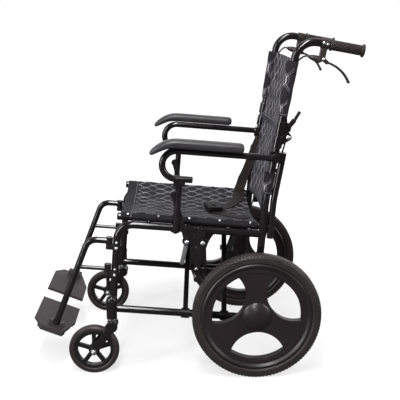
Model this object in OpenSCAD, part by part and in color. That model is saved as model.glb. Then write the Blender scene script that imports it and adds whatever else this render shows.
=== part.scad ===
// Folding transit wheelchair: two welded side frames joined by a double cross brace,
// with a sling seat, a sling back that folds at half height, flip-up armrests,
// swing-away footrests, three-spoke rear wheels, casters, parking and hand brakes.
// +Z is up, the chair faces -Y, its left side is +X, the origin lies on the floor.

/* [Frame] */
// Half of the distance between the two side frames, tube centre to tube centre
frame_half = 230; // [200:1:260]
// Distance between front post and back post, along the rails
frame_length = 425; // [400:1:460]
// Distance between the lower rail and the top tube
frame_height = 262.5; // [250:0.5:280]
// Backward rake of the rails, in degrees
frame_tilt = 4.7; // [3.5:0.1:5.5]
// Outer diameter of the frame tube
tube_d = 22.2; // [20:0.1:24]
// Centreline radius of the bend from the top tube to the front post
front_bend = 45; // [35:1:60]
// Height of the rear axle above the lower rail
axle_rise = 32; // [28:0.5:40]
// Height of the seat rail above the top tube
rail_rise = 20; // [19.5:0.5:24]
// How far the seat rail lies inboard of the top tube
rail_inset = 12; // [11:0.5:16]
// Diameter of the stay tube behind each back post
stay_d = 19; // [16:0.5:20]
// Distance of the stay tube behind the back post
stay_offset = 23.5; // [23:0.5:27]

/* [Back and handles] */
// Height of the bend of the back post above the axle
back_bend_height = 325; // [300:1:340]
// Extra backward lean of the post above that bend, in degrees
back_lean = 5.6; // [4:0.2:8]
// Height of the folding hinge above the bend
hinge_height = 183; // [170:1:200]
// Distance of the hinge pin behind the back tube
hinge_offset = 25.4; // [25:0.2:28]
// Height of the push handle above the bend
handle_height = 459; // [440:1:480]
// Reach of the push handle behind the back tube
handle_reach = 188; // [180:1:205]
// Centreline radius of the bend into the push handle
handle_bend = 55; // [45:1:60]
// Outer diameter of the rubber grip
grip_d = 29; // [27:0.5:32]
// Length of the rubber grip
grip_length = 98; // [85:1:98]

/* [Rear wheels] */
// Outer diameter of the rear tyre
wheel_d = 380; // [360:1:400]
// Width of the rear tyre
tyre_w = 40; // [34:1:44]
// Section height of the rear tyre
tyre_h = 27; // [24:0.5:30]
// Distance of the wheel's middle outboard of the frame
wheel_offset = 65; // [60:1:72]
// Diameter of the rear axle
axle_d = 12; // [10:0.5:14]

/* [Casters] */
// Outer diameter of the caster
caster_d = 150; // [140:1:152]
// Width of the caster tyre
caster_w = 28; // [24:1:30]
// Distance of the caster axle ahead of its stem
caster_trail = 55; // [50:1:56]
// Outer diameter of the head tube
head_d = 31; // [28:0.5:32]
// Diameter of the caster stem
stem_d = 12; // [10:0.5:14]

/* [Footrests] */
// Height of the hanger's top tube above the axle
hanger_height = 177; // [170:1:185]
// Lean of the hanger's leg from the front post, in degrees
hanger_lean = 16.9; // [15:0.2:19]
// Length of the hanger's leg, from its bend corner to the footplate hinge
hanger_leg = 274.6; // [265:1:285]
// Reach of the hanger's bend corner ahead of its swing pin
hanger_reach = 62; // [60:1:75]
// Width of the footplate inboard of its hinge
plate_in = 185; // [165:1:187]
// Width of the footplate outboard of its hinge
plate_out = 30; // [24:1:36]
// Thickness of the footplate
plate_t = 9; // [7:0.5:10]

/* [Armrests] */
// Distance of the armrest outboard of the frame
arm_offset = 32; // [30:0.5:36]
// Diameter of the armrest tube
arm_d = 19; // [16:0.5:20]
// Height of the armrest pivot above the bend of the back post
arm_pivot = 121; // [115:1:130]
// Distance of the loop's centre ahead of the armrest pivot
arm_length = 281; // [270:1:290]
// Centreline radius of the armrest's front loop
arm_loop = 40.5; // [36:0.5:44]
// Width of the arm pad
pad_w = 46; // [40:1:50]
// Thickness of the arm pad
pad_t = 27; // [22:1:30]

/* [Brakes] */
// Length of the parking lever, from its pivot to the tip of its handle
park_length = 158; // [140:1:165]
// Forward lean of the parking lever when the brake is off, in degrees
park_lean = 19; // [15:0.5:20]
// Gap between the brake shoe and the tyre when the brake is off
shoe_gap = 15; // [12:0.5:17]
// Diameter of the brake shoe
shoe_d = 14; // [12:0.5:15]
// Diameter of the brake cable's casing
cable_d = 5; // [4:0.5:6]

/* [Cross brace] */
// Distance of the front brace ahead of the axle
brace_front = 199; // [190:1:206]
// Distance of the rear brace ahead of the axle
brace_rear = 82; // [70:1:95]
// Height of the brace bar
bar_h = 24; // [20:0.5:25]
// Thickness of the brace bar
bar_t = 14; // [12:0.5:15]
// Diameter of the bolt through each crossing
pivot_d = 10; // [8:0.5:12]

/* [Slings] */
// Thickness of the sling fabric
cloth_t = 2.6; // [2:0.1:3]
// Sag of the seat at its middle
seat_sag = 22; // [14:1:26]
// Depth of the back sling at its middle
back_sag = 18; // [10:1:26]

/* [Hidden] */
$fn = 48;

// Clearances: a seat that is clamped or slid on, a running fit, and a plain moving gap
seat_fit = 0.05;
run_fit = 0.06;
gap = 0.4;
// A bend is a hair thicker than the straight tube that it joins
bend_swell = 0.25;
// A straight tube reaches this far into the bend that it joins
joint = 0.3;

tube_r = tube_d / 2;
stay_r = stay_d / 2;
arm_r = arm_d / 2;
wheel_r = wheel_d / 2;
caster_r = caster_d / 2;
clamp_wall = 3.4;

// Heights in the raked frame, whose origin is the middle of the rear axle line
low_w = -axle_rise;
top_w = frame_height - axle_rise;
rail_w = top_w + rail_rise;
rail_x = frame_half - rail_inset;
wheel_x = frame_half + wheel_offset;
arm_x = frame_half + arm_offset;

// The crossing of the brace and the angle of its bars
brace_angle = atan((rail_w - low_w) / (frame_half + rail_x));
cross_w = low_w + frame_half * tan(brace_angle);

// The gentle bend of the back post
bend_r = 200;
bend_end = [bend_r * (1 - cos(back_lean)), back_bend_height + bend_r * sin(back_lean)];

// A point of the raked frame, and of the leaning back, in upright coordinates
function upright(u, w) = [u * cos(frame_tilt) + w * sin(frame_tilt),
                          wheel_r - u * sin(frame_tilt) + w * cos(frame_tilt)];
function on_back(v, s) = [bend_end[0] + v * cos(back_lean) + s * sin(back_lean),
                          bend_end[1] - v * sin(back_lean) + s * cos(back_lean)];
function back_upright(v, s) = upright(on_back(v, s)[0], on_back(v, s)[1]);

// Footrest: its swing pin stands ahead of the front post
pin_offset = tube_r + 11;
pin_u = -frame_length - pin_offset;
corner_u = pin_u - hanger_reach;
foot_u = corner_u - hanger_leg * sin(hanger_lean);
foot_w = hanger_height - hanger_leg * cos(hanger_lean);
foot_drop = tube_r + 2;
plate_front = 67;
plate_back = 55;

// The origin lies midway between the footplates' front edge and the grips' ends
total_lean = frame_tilt + back_lean;
flange_r = grip_d / 2 + 4;
plate_slope = hanger_lean + frame_tilt;
rear_most = back_upright(handle_reach, handle_height)[0] + flange_r * sin(total_lean);
front_most = upright(foot_u, foot_w)[0] - plate_front * cos(plate_slope)
  - (foot_drop + plate_t) * sin(plate_slope);
axle_y = -(rear_most + front_most) / 2;

// Caster: the upright head tube stands outboard of the front post's foot
head_x = frame_half + tube_r + head_d / 2 + 0.4;
head_y = upright(-frame_length, low_w)[0] - 1;
head_low = caster_d + 22;
head_high = head_low + 50;

// Armrest heights in the raked frame
arm_u = on_back(0, arm_pivot)[0];
arm_w = on_back(0, arm_pivot)[1];
loop_u = arm_u - arm_length;
loop_w = arm_w - arm_loop;
stub_w = arm_w - 2 * arm_loop;
stub_end = 46;
post_u = loop_u + 12;

// Parking brake points, in the raked frame
park_u = -221;
park_w = top_w - 34;
park_x = frame_half + tube_r + 5;
lever_t = 4;
shoe_pivot_u = park_u + 47;
shoe_w = park_w - 97;
shoe_u = -sqrt(pow(wheel_r + shoe_gap + shoe_d / 2, 2) - pow(shoe_w, 2));

// The stop of the brake cable's casing, behind the anchor of the shoe arm
stop_u = shoe_u + 22;
stop_x = frame_half + tube_r - cable_d / 2;

// Basic placements

// Upright coordinates with the axle line at Y = 0
module on_floor() {
  translate([0, axle_y, 0]) children();
}

// The raked frame, with the rear axle line as its origin
module raked() {
  on_floor() translate([0, 0, wheel_r]) rotate([-frame_tilt, 0, 0]) children();
}

// The leaning part of the back: Y is behind the tube, Z runs up along it
module leaning() {
  raked() translate([0, bend_end[0], bend_end[1]]) rotate([-back_lean, 0, 0]) children();
}

// A drawing in the side plane, extruded towards +X from x
module side(x) {
  translate([x, 0, 0]) rotate([90, 0, 90]) children();
}

module rod(a, b, r) {
  d = b - a;
  long = norm(d);
  translate(a) rotate([0, acos(d[2] / long), atan2(d[1], d[0])]) cylinder(h = long, r = r);
}

// A tube bend in the side plane at x, round the centre c
module elbow(x, c, bend, r, from, sweep) {
  side(x) translate([c[0], c[1], 0]) rotate([0, 0, from])
    rotate_extrude(angle = sweep) translate([bend, 0]) circle(r + bend_swell);
}

// A flat bar outline with round ends
module strip(a, b, wide) {
  d = b - a;
  translate(a) rotate([0, 0, atan2(d[1], d[0])])
    translate([0, 0.2 - wide / 2]) square([norm(d), wide - 0.4]);
  translate(a) circle(d = wide);
  translate(b) circle(d = wide);
}

// Side frame

module frame_tubes() {
  x = frame_half;
  rod([x, -frame_length, low_w], [x, -frame_length, top_w - front_bend], tube_r);
  elbow(x, [-frame_length + front_bend, top_w - front_bend], front_bend, tube_r, 90, 90);
  rod([x, -frame_length + front_bend, top_w], [x, 0, top_w], tube_r);
  rod([x, -frame_length, low_w], [x, 0, low_w], tube_r);
  translate([x, -frame_length, low_w]) sphere(tube_r);
  rod([x, 0, low_w - tube_r - 3], [x, 0, back_bend_height + joint], tube_r);
  elbow(x, [bend_r, back_bend_height], bend_r, tube_r, 180 - back_lean, back_lean);
}

// The capped tube behind the back post, welded to it at two points
stay_low = top_w - 8;
stay_high = arm_pivot - 17;
module stay_tubes() {
  x = frame_half;
  rod([x, stay_offset, stay_low], [x, stay_offset, back_bend_height + joint], stay_r);
  elbow(x, [bend_r, back_bend_height], bend_r - stay_offset, stay_r, 180 - back_lean, back_lean);
  rod([x, 0, stay_low + 30], [x, stay_offset, stay_low + 30], 6);
}

module left_side_frame() {
  color("#1c1c1e") {
    difference() {
      union() {
        raked() {
          frame_tubes();
          stay_tubes();
          rail_saddles();
        }
        leaning() {
          rod([frame_half, 0, -joint], [frame_half, 0, hinge_height + 1], tube_r);
          rod([frame_half, stay_offset, -joint], [frame_half, stay_offset, stay_high], stay_r);
          rod([frame_half, 0, stay_high - 24], [frame_half, stay_offset, stay_high - 24], 6);
        }
        head_tube();
      }
      raked() rod([0, 0, 0], [wheel_x, 0, 0], axle_d / 2 + seat_fit);
      on_floor() translate([head_x, head_y, 0]) cylinder(h = head_high - 4, d = stem_d + 2 * run_fit);
    }
  }
}

// Two short posts on the top tube that the seat rail rests on
module rail_saddles() {
  up = [-rail_inset, 0, rail_rise];
  for (u = [-frame_length + 90, -40]) {
    difference() {
      rod([frame_half, u, top_w], [frame_half, u, top_w] + up * 0.8, 7);
      rod([rail_x, u - 20, rail_w], [rail_x, u + 20, rail_w], tube_r + gap);
    }
  }
}

// The upright head tube with its domed cap, on a gusset from the front post
module head_tube() {
  on_floor() {
    translate([head_x, head_y, head_low]) cylinder(h = head_high - head_low, d = head_d);
    translate([head_x, head_y, head_high]) cylinder(h = 5, d = head_d + 2.4);
    translate([head_x, head_y, head_high + 5]) intersection() {
      scale(1) sphere(d = head_d + 1);
      translate([-head_d, -head_d, 0]) cube([2 * head_d, 2 * head_d, head_d]);
    }
    translate([frame_half, head_y - 8, head_low + 8]) cube([head_x - frame_half, 16, 34]);
  }
}

module left_rear_axle() {
  inner = frame_half - tube_r;
  color("#9a9da1") raked() {
    rod([inner - 2, 0, 0], [wheel_x + nut_from + 1, 0, 0], axle_d / 2);
    rod([inner - 10, 0, 0], [inner - 0.4, 0, 0], 9.5);
    rod([frame_half + tube_r + 0.4, 0, 0], [wheel_x - 41, 0, 0], 10);
    rod([wheel_x + nut_from, 0, 0], [wheel_x + nut_to, 0, 0], nut_r);
  }
}

// Armrest post with its cradle on the top tube, and the pivot bracket on the back post
module left_armrest_mounts() {
  color("#1c1c1e") {
    raked() {
      difference() {
        rod([frame_half, post_u - 13, top_w], [frame_half, post_u + 13, top_w], tube_r + clamp_wall);
        rod([frame_half, post_u - 14, top_w], [frame_half, post_u + 14, top_w], tube_r + seat_fit);
        translate([frame_half - 30, post_u - 20, top_w - 30]) cube([31, 40, 60]);
      }
      rod([frame_half + tube_r + 1, post_u, top_w], [arm_x, post_u, top_w], 8);
      translate([arm_x, post_u, top_w]) sphere(arm_r);
      difference() {
        union() {
          rod([arm_x, post_u, top_w], [arm_x, post_u, stub_w - arm_r - 2], arm_r);
          translate([arm_x - 12, post_u - 17, stub_w - arm_r - 8]) cube([24, 34, 11]);
        }
        rod([arm_x, post_u - 30, stub_w], [arm_x, post_u + 30, stub_w], arm_r + gap);
      }
    }
    leaning() {
      difference() {
        translate([frame_half - tube_r - clamp_wall, -tube_r - clamp_wall, arm_pivot - 15])
          cube([tube_d + 2 * clamp_wall, 2 * (tube_r + clamp_wall) + 16, 30]);
        rod([frame_half, 0, 0], [frame_half, 0, hinge_height], tube_r + seat_fit);
      }
      rod([frame_half + tube_r + 2, 0, arm_pivot], [arm_x + 14, 0, arm_pivot], 6);
      rod([arm_x + 11, 0, arm_pivot], [arm_x + 15, 0, arm_pivot], 10);
    }
  }
}

// Two clamps on the front post, each with an upright pin for the footrest
bracket_low = [70, 152];
module left_hanger_brackets() {
  color("#232326") raked() {
    for (w = bracket_low) {
      difference() {
        union() {
          translate([frame_half, -frame_length, w]) cylinder(h = 14, r = tube_r + clamp_wall);
          translate([frame_half - 8, pin_u, w]) cube([16, pin_offset, 14]);
          translate([frame_half, pin_u, w]) cylinder(h = 14, r = 9.5);
        }
        translate([frame_half, -frame_length, w - 1]) cylinder(h = 16, r = tube_r + seat_fit);
      }
      translate([frame_half, pin_u, w]) cylinder(h = 34, r = 5);
    }
  }
}

module left_footrest_hanger() {
  x = frame_half;
  bend = 34;
  tangent = bend * tan((90 - hanger_lean) / 2);
  leg_dir = [0, -sin(hanger_lean), -cos(hanger_lean)];
  corner = [x, corner_u, hanger_height];
  bar_w = bracket_low[0] + 14 + gap + 6;
  bar_u = corner_u - (hanger_height - bar_w) * tan(hanger_lean);
  color("#1c1c1e") raked() {
    difference() {
      union() {
        rod([x, pin_u, hanger_height], [x, corner_u + tangent, hanger_height], arm_r);
        elbow(x, [corner_u + tangent, hanger_height - bend], bend, arm_r, 90, 90 - hanger_lean);
        rod(corner + leg_dir * tangent, corner + leg_dir * (hanger_leg + 8), arm_r);
        rod([x, pin_u, bar_w], [x, bar_u, bar_w], 6);
        for (w = bracket_low) {
          translate([x, pin_u, w + 14 + gap]) cylinder(h = 22, r = 10.5);
        }
      }
      for (w = bracket_low) {
        translate([x, pin_u, w + 10]) cylinder(h = 25, r = 5 + run_fit);
      }
      translate([x, foot_u, foot_w]) rotate([90 - hanger_lean, 0, 0])
        translate([0, 0, -60]) cylinder(h = 120, r = 4 + run_fit);
    }
  }
}

// Footplate in its own plane: X is outboard, Y runs back along the plate
module plate_outline() {
  polygon([
    [-plate_in, -plate_front], [-16, -plate_front], [plate_out, 28 - plate_front],
    [plate_out, plate_back - 28], [plate_out - 8, plate_back - 25], [-70, plate_back],
    [-plate_in, plate_back]
  ]);
}

// The thicker outer edge of the plate
skirt_drop = 7;
module left_footplate() {
  lug = arm_r + 1;
  color("#4a4648") raked() translate([frame_half, foot_u, foot_w]) rotate([-hanger_lean, 0, 0]) {
    difference() {
      union() {
        translate([0, 0, -foot_drop - plate_t]) linear_extrude(plate_t) plate_outline();
        translate([0, 0, -foot_drop - plate_t - skirt_drop]) linear_extrude(skirt_drop + 1) intersection() {
          plate_outline();
          translate([plate_out - 22, -100]) square([40, 200]);
        }
        for (y = [-lug - 12, lug]) {
          translate([-9, y, -foot_drop - 1]) cube([18, 12, foot_drop + 1]);
          translate([0, y, 0]) rotate([-90, 0, 0]) cylinder(h = 12, r = 9);
        }
      }
      translate([-plate_in + 8, 8 - plate_front, -foot_drop - plate_t - 1])
        cube([plate_in - 40, plate_front + plate_back - 16, plate_t - 3]);
    }
    rotate([90, 0, 0]) translate([0, 0, -lug - 14]) cylinder(h = 2 * lug + 28, r = 4);
  }
}

// Armrest: a straight tube whose front turns down and back into a short stub
module left_armrest_tube() {
  color("#1c1c1e") raked() {
    difference() {
      union() {
        rod([arm_x, arm_u, arm_w], [arm_x, loop_u - joint, arm_w], arm_r);
        elbow(arm_x, [loop_u, loop_w], arm_loop, arm_r, 90, 180);
        rod([arm_x, loop_u - joint, stub_w], [arm_x, loop_u + stub_end, stub_w], arm_r);
        rod([arm_x - 10.5, arm_u, arm_w], [arm_x + 10.5, arm_u, arm_w], 13);
      }
      rod([arm_x - 30, arm_u, arm_w], [arm_x + 30, arm_u, arm_w], 6 + run_fit);
    }
  }
}

// Arm pad: a foam bar with a crowned top, whose front droops ahead of the loop.
// Each ring: distance ahead of the loop's centre, middle height over the pad's base,
// half thickness, half width and downward slope in degrees
pad_rear = 94;
function pad_rings() = let (t = pad_t / 2, w = pad_w / 2, rear = arm_u - pad_rear - loop_u) [
  [-rear, t, t * 0.55, w * 0.72, 0], [-rear + 2, t, t * 0.82, w * 0.9, 0],
  [-rear + 6, t, t * 0.96, w * 0.98, 0], [-rear + 14, t, t, w, 0], [-rear / 2, t, t, w, 0],
  [-8, t, t, w, 0], [12, t - 0.6, t * 0.97, w, 8], [26, t - 3, t * 0.92, w, 16],
  [42, t - 9.5, t * 0.84, w * 0.99, 27], [56, t - 18, t * 0.74, w * 0.97, 35],
  [68, t - 27, t * 0.6, w * 0.92, 40], [75, t - 33.5, t * 0.42, w * 0.82, 43],
  [78, t - 36.5, t * 0.22, w * 0.68, 44]
];
pad_fn = 24;
// A point of the rounded section: flat below, crowned above
function pad_point(k) = let (a = k * 360 / pad_fn, c = cos(a), z = sin(a))
  [sign(c) * pow(abs(c), 0.5), sign(z) * pow(abs(z), z < 0 ? 0.3 : 0.7)];

module left_armrest_pad() {
  rings = pad_rings();
  base = arm_w + arm_r + 0.3;
  mid_x = arm_x - arm_r - 0.5 + pad_w / 2;
  n = pad_fn;
  last = (len(rings) - 1) * n;
  verts = [for (r = rings, k = [0:n - 1]) let (q = pad_point(k)) [
    mid_x + q[0] * r[3],
    loop_u - r[0] - q[1] * r[2] * sin(r[4]),
    base + r[1] + q[1] * r[2] * cos(r[4])
  ]];
  sides = [for (i = [0:len(rings) - 2], k = [0:n - 1])
    each [[i * n + k, (i + 1) * n + k, i * n + (k + 1) % n],
          [i * n + (k + 1) % n, (i + 1) * n + k, (i + 1) * n + (k + 1) % n]]];
  ends = [for (k = [1:n - 2]) each [[0, k, k + 1], [last, last + k + 1, last + k]]];
  color("#2b2b2d") raked() polyhedron(verts, concat(sides, ends));
}

// Rear wheel: a three-spoke moulded wheel with lens-shaped windows and a closed hub cap
rim_r = wheel_r - tyre_h;
window_r = 0.69 * wheel_r;
window_bulge = 0.437 * wheel_r;
window_far = 0.69 * wheel_r;
web_t = 22;
hub_end = 27;
hub_wall = 3;
bead_x = 18.4;
nut_r = 9;
nut_from = 17;
nut_to = hub_end - hub_wall - 0.8;
// The wheel stands turned a little, as it came to rest
wheel_turn = 6;

module wheel_window() {
  intersection() {
    circle(window_r);
    translate([window_far, 0]) circle(window_bulge);
  }
}

module left_rear_wheel() {
  color("#3a3335") raked() side(wheel_x) {
    difference() {
      union() {
        translate([0, 0, -web_t / 2]) cylinder(h = web_t, r = rim_r - 10);
        rotate_extrude() polygon([
          [window_r + 4, -13], [0.78 * wheel_r, -13], [0.8 * wheel_r, -16], [0.817 * wheel_r, -bead_x],
          [0.838 * wheel_r, -bead_x], [rim_r - seat_fit, -16], [rim_r - seat_fit, 16],
          [0.838 * wheel_r, bead_x], [0.817 * wheel_r, bead_x], [0.8 * wheel_r, 16],
          [0.78 * wheel_r, 13], [window_r + 4, 13]
        ]);
        rotate_extrude() polygon([
          [0, -40], [20, -40], [24, -14], [38, 1 - web_t / 2], [44, web_t / 2 - 1], [39, 14.5],
          [32, 18.6], [25, 22], [18, hub_end - 2.2], [11, hub_end - 0.6], [5, hub_end], [0, hub_end]
        ]);
      }
      for (a = [-90, 30, 150]) {
        rotate([0, 0, a + wheel_turn]) translate([0, 0, -30]) linear_extrude(60) wheel_window();
      }
      translate([0, 0, -60]) cylinder(h = 60 + nut_from, r = axle_d / 2 + run_fit);
      translate([0, 0, nut_from - 0.6]) cylinder(h = hub_end - hub_wall - nut_from + 0.6, r = nut_r + 0.8);
    }
  }
}

module left_rear_tyre() {
  half = tyre_w / 2;
  color("#151516") raked() side(wheel_x) rotate_extrude() polygon([
    [rim_r, -17], [rim_r + 5, -half], [wheel_r - 8, -half], [wheel_r - 2, -half + 6],
    [wheel_r, -half + 13], [wheel_r, half - 13], [wheel_r - 2, half - 6], [wheel_r - 8, half],
    [rim_r + 5, half], [rim_r, 17]
  ]);
}

// Caster fork: a stem, a crown and two legs that trail ahead of the stem
fork_in = caster_w / 2 + 4;
fork_t = 5;
module at_head() {
  on_floor() translate([head_x, head_y, 0]) children();
}

module left_caster_fork() {
  crown_high = head_low - 5;
  crown_mid = crown_high - 16.5;
  wide = fork_in + fork_t;
  color("#161617") at_head() {
    difference() {
      union() {
        rod([1 - wide, 1, crown_mid], [wide - 1, 1, crown_mid], 15.5);
        for (x = [-wide, fork_in]) {
          side(x) linear_extrude(fork_t) {
            strip([1, crown_mid], [-caster_trail, caster_r], 24);
            circle_at([1, crown_mid], 16.5);
          }
        }
        translate([0, 0, crown_mid]) cylinder(h = head_high - 6 - crown_mid, d = stem_d);
        translate([0, 0, crown_mid + 8]) cylinder(h = crown_high - crown_mid - 3.4, r = 11);
      }
      rod([-60, -caster_trail, caster_r], [60, -caster_trail, caster_r], 5 + seat_fit);
    }
  }
}

module left_caster_axle() {
  out = fork_in + fork_t;
  color("#c9cbce") at_head() translate([0, -caster_trail, caster_r]) {
    rod([-out - 5, 0, 0], [out + 5, 0, 0], 5);
    rod([out + 0.1, 0, 0], [out + 5, 0, 0], 8);
    rod([-out - 5, 0, 0], [-out - 0.1, 0, 0], 8);
  }
}

caster_rim = caster_r - 17;
module left_caster_wheel() {
  color("#202022") at_head() side(0) translate([-caster_trail, caster_r, 0]) {
    difference() {
      union() {
        translate([0, 0, -fork_in + gap]) cylinder(h = 2 * (fork_in - gap), r = 13);
        translate([0, 0, -5]) linear_extrude(10) difference() {
          circle(caster_rim - 3);
          difference() {
            circle(caster_rim - 8);
            circle(17);
            for (a = [18:72:360]) rotate([0, 0, a]) translate([0, -6]) square([caster_r, 12]);
          }
        }
        rotate_extrude() translate([caster_rim - 9, -10]) square([9 - seat_fit, 20]);
      }
      translate([0, 0, -40]) cylinder(h = 80, r = 5 + run_fit);
    }
  }
}

module left_caster_tyre() {
  half = caster_w / 2;
  color("#141415") at_head() side(0) translate([-caster_trail, caster_r, 0]) rotate_extrude() polygon([
    [caster_rim, -half + 2], [caster_rim + 3, -half], [caster_r - 6, -half], [caster_r - 1.5, -half + 4.5],
    [caster_r, -half + 10], [caster_r, half - 10], [caster_r - 1.5, half - 4.5], [caster_r - 6, half],
    [caster_rim + 3, half], [caster_rim, half - 2]
  ]);
}

// Back hinge: lower half with two ears and the pin, upper half with a tongue
ear_in = 7;
ear_t = 4;
pin_r = 5;
module left_back_hinge() {
  x = frame_half;
  color("#2a2a2d") leaning() {
    difference() {
      union() {
        translate([x, 0, hinge_height - 36]) cylinder(h = 32, r = tube_r + clamp_wall);
        for (side_x = [-ear_in - ear_t, ear_in]) {
          side(x + side_x) linear_extrude(ear_t)
            strip([4, hinge_height - 18], [hinge_offset, hinge_height], 21);
        }
      }
      translate([x, 0, hinge_height - 60]) cylinder(h = 90, r = tube_r + seat_fit);
      translate([x - 20, -20, hinge_height - 4]) cube([40, 33, 40]);
    }
    rod([x - ear_in - ear_t - 2, hinge_offset, hinge_height],
        [x + ear_in + ear_t + 2, hinge_offset, hinge_height], pin_r);
  }
}

module left_back_tube() {
  x = frame_half;
  start = hinge_height + 1 + gap;
  color("#1c1c1e") leaning() {
    difference() {
      union() {
        rod([x, 0, start], [x, 0, handle_height - handle_bend], tube_r);
        elbow(x, [handle_bend, handle_height - handle_bend], handle_bend, tube_r, 90, 90);
        rod([x, handle_bend, handle_height], [x, handle_reach - 8, handle_height], tube_r);
        translate([x, 0, start + 4]) cylinder(h = 34, r = tube_r + clamp_wall);
        side(x - ear_in + gap) linear_extrude(2 * (ear_in - gap)) {
          strip([5, hinge_height + 26], [hinge_offset, hinge_height], 19);
          translate([5, hinge_height + 16]) square([hinge_offset - 5 + 4, 24]);
        }
      }
      rod([x - 30, hinge_offset, hinge_height], [x + 30, hinge_offset, hinge_height], pin_r + run_fit);
      rod([x - 30, release_v, release_s], [x + 30, release_v, release_s], 3 + run_fit);
    }
  }
}

// Release lever of the back hinge, on a pin behind the upper half
release_v = hinge_offset - 1;
release_s = hinge_height + 32;
module left_release_lever() {
  x = frame_half;
  color("#19191a") leaning() {
    rod([x - ear_in - 2.4, release_v, release_s], [x + ear_in + 2.4, release_v, release_s], 3);
    for (side_x = [-ear_in - 2.6, ear_in + 0.1]) {
      side(x + side_x) linear_extrude(2.5) strip([release_v, release_s], [release_v + 9, release_s + 16], 11);
    }
    side(x - ear_in - 2.6) linear_extrude(2 * ear_in + 5.2)
      strip([release_v + 11, release_s + 18], [release_v + 20, release_s + 43], 6);
  }
}

grip_ribs = 18;
module left_grip() {
  start = handle_reach - grip_length;
  r = grip_d / 2;
  color("#1a1716") leaning() translate([frame_half, start, handle_height]) rotate([-90, 0, 0])
    difference() {
      rotate_extrude() difference() {
        polygon([
          [0, 0], [r + 1, 0], [r + 2.4, 1.4], [r + 2.4, 5], [r, 8], [r, grip_length - 8],
          [flange_r, grip_length - 5], [flange_r, grip_length - 1.2], [flange_r - 1.2, grip_length],
          [0, grip_length]
        ]);
        translate([-1, -1]) square([tube_r + seat_fit + 1, grip_length - 7 + seat_fit]);
      }
      for (k = [0:grip_ribs - 1]) {
        rotate([0, 0, k * 360 / grip_ribs]) translate([r + 0.5, 0, 11]) cylinder(h = grip_length - 22, r = 1.4, $fn = 12);
      }
    }
}

// Hand brake: a clamp on the handle with a barrel below it, and the lever in a fork
perch_v = 76;
lever_drop = 42;
barrel_dip = 6;
barrel_v = 36;
module left_brake_perch() {
  x = frame_half;
  drop = -lever_drop;
  color("#17171a") leaning() translate([x, 0, handle_height]) {
    difference() {
      union() {
        rod([0, perch_v - 11, 0], [0, perch_v + 11, 0], tube_r + clamp_wall);
        side(-9.5) linear_extrude(19) {
          strip([perch_v - 1, -14], [perch_v - 1, drop + 3], 17);
          strip([perch_v - 1, drop + 3], [perch_v - 7, drop - 4], 15);
        }
        translate([0, barrel_v, drop]) rotate([-90 - barrel_dip, 0, 0]) rotate_extrude() polygon([
          [0, 0], [3.8, 0], [4.4, 4], [6.2, 6], [8, 14], [9.4, 24], [10.2, 32], [9, 36], [0, 36]
        ]);
        rod([0, perch_v - 9, drop - 6], [0, perch_v - 9, drop - 17], 3);
      }
      rod([0, 0, 0], [0, 200, 0], tube_r + seat_fit);
      translate([-6, perch_v - 5.2, drop - 20]) cube([12, 40, 34]);
    }
    rod([-10.5, perch_v + 2, drop], [10.5, perch_v + 2, drop], 3);
  }
}

// The lever's blade: a curved strip that ends in a rounded tip
blade_r = 97.5;
module lever_blade() {
  c = [perch_v + 5.5, -lever_drop - 105.1];
  function ray(a, long) = long * [cos(a), sin(a)];
  translate(c) {
    intersection() {
      difference() {
        circle(blade_r + 3.4, $fn = 160);
        translate([0.9, 0.4]) circle(blade_r - 3.4, $fn = 160);
      }
      polygon([[0, 0], ray(86, 140), ray(60, 150), ray(34, 140)]);
    }
    translate(ray(34, blade_r + 0.3)) circle(4);
  }
}

module left_brake_lever() {
  x = frame_half;
  base = -lever_drop;
  color("#1b1b1d") leaning() translate([x, 0, handle_height]) difference() {
    union() {
      side(-5.6) linear_extrude(11.2) strip([perch_v + 2, base], [perch_v + 15, base - 7.5], 11);
      side(-7) linear_extrude(14) lever_blade();
    }
    rod([-30, perch_v + 2, base], [30, perch_v + 2, base], 3 + run_fit);
  }
}

// Parking brake: a plate on the top tube, a hand lever and a shoe arm
module left_brake_bracket() {
  plate_x = frame_half + tube_r + gap;
  color("#26262a") raked() {
    side(plate_x) linear_extrude(3) {
      strip([park_u, park_w], [shoe_pivot_u, park_w], 26);
      strip([park_u + 6, park_w], [park_u + 6, top_w + 4], 22);
      strip([shoe_pivot_u - 6, park_w], [shoe_pivot_u - 6, top_w + 4], 22);
      strip([shoe_pivot_u + 6, park_w], [stop_u + 6, shoe_w + 16], 9);
    }
    difference() {
      rod([stop_x, stop_u, shoe_w + 16], [stop_x, stop_u + 11, shoe_w + 16], cable_d / 2 + 2.4);
      rod([stop_x, stop_u - 5, shoe_w + 16], [stop_x, stop_u + 20, shoe_w + 16], cable_d / 2 + seat_fit);
    }
    for (u = [park_u, shoe_pivot_u]) {
      rod([plate_x + 1, u, park_w], [park_x + lever_t + 4, u, park_w], 4);
      rod([park_x + lever_t + gap, u, park_w], [park_x + lever_t + 4, u, park_w], 7);
    }
    for (u = [park_u + 6, shoe_pivot_u - 6]) {
      rod([plate_x + 2, u, top_w], [plate_x + 4.1, u, top_w], 5.5);
    }
  }
}

module left_parking_lever() {
  tip = [park_u - park_length * sin(park_lean), park_w + park_length * cos(park_lean)];
  root = [park_u, park_w];
  grip_from = root + (tip - root) * 0.67;
  color("#1e1e20") raked() difference() {
    union() {
      side(park_x) linear_extrude(lever_t) {
        strip(root, grip_from, 15);
        circle_at(root, 11);
      }
      side(park_x - 2.4) linear_extrude(lever_t + 4.4) {
        strip(grip_from, root + (tip - root) * 0.9, 17);
        circle_at(root + (tip - root) * 0.92, 10.5);
      }
    }
    rod([park_x - 20, park_u, park_w], [park_x + 20, park_u, park_w], 4 + run_fit);
  }
}

module circle_at(p, r) {
  translate(p) circle(r);
}

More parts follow.
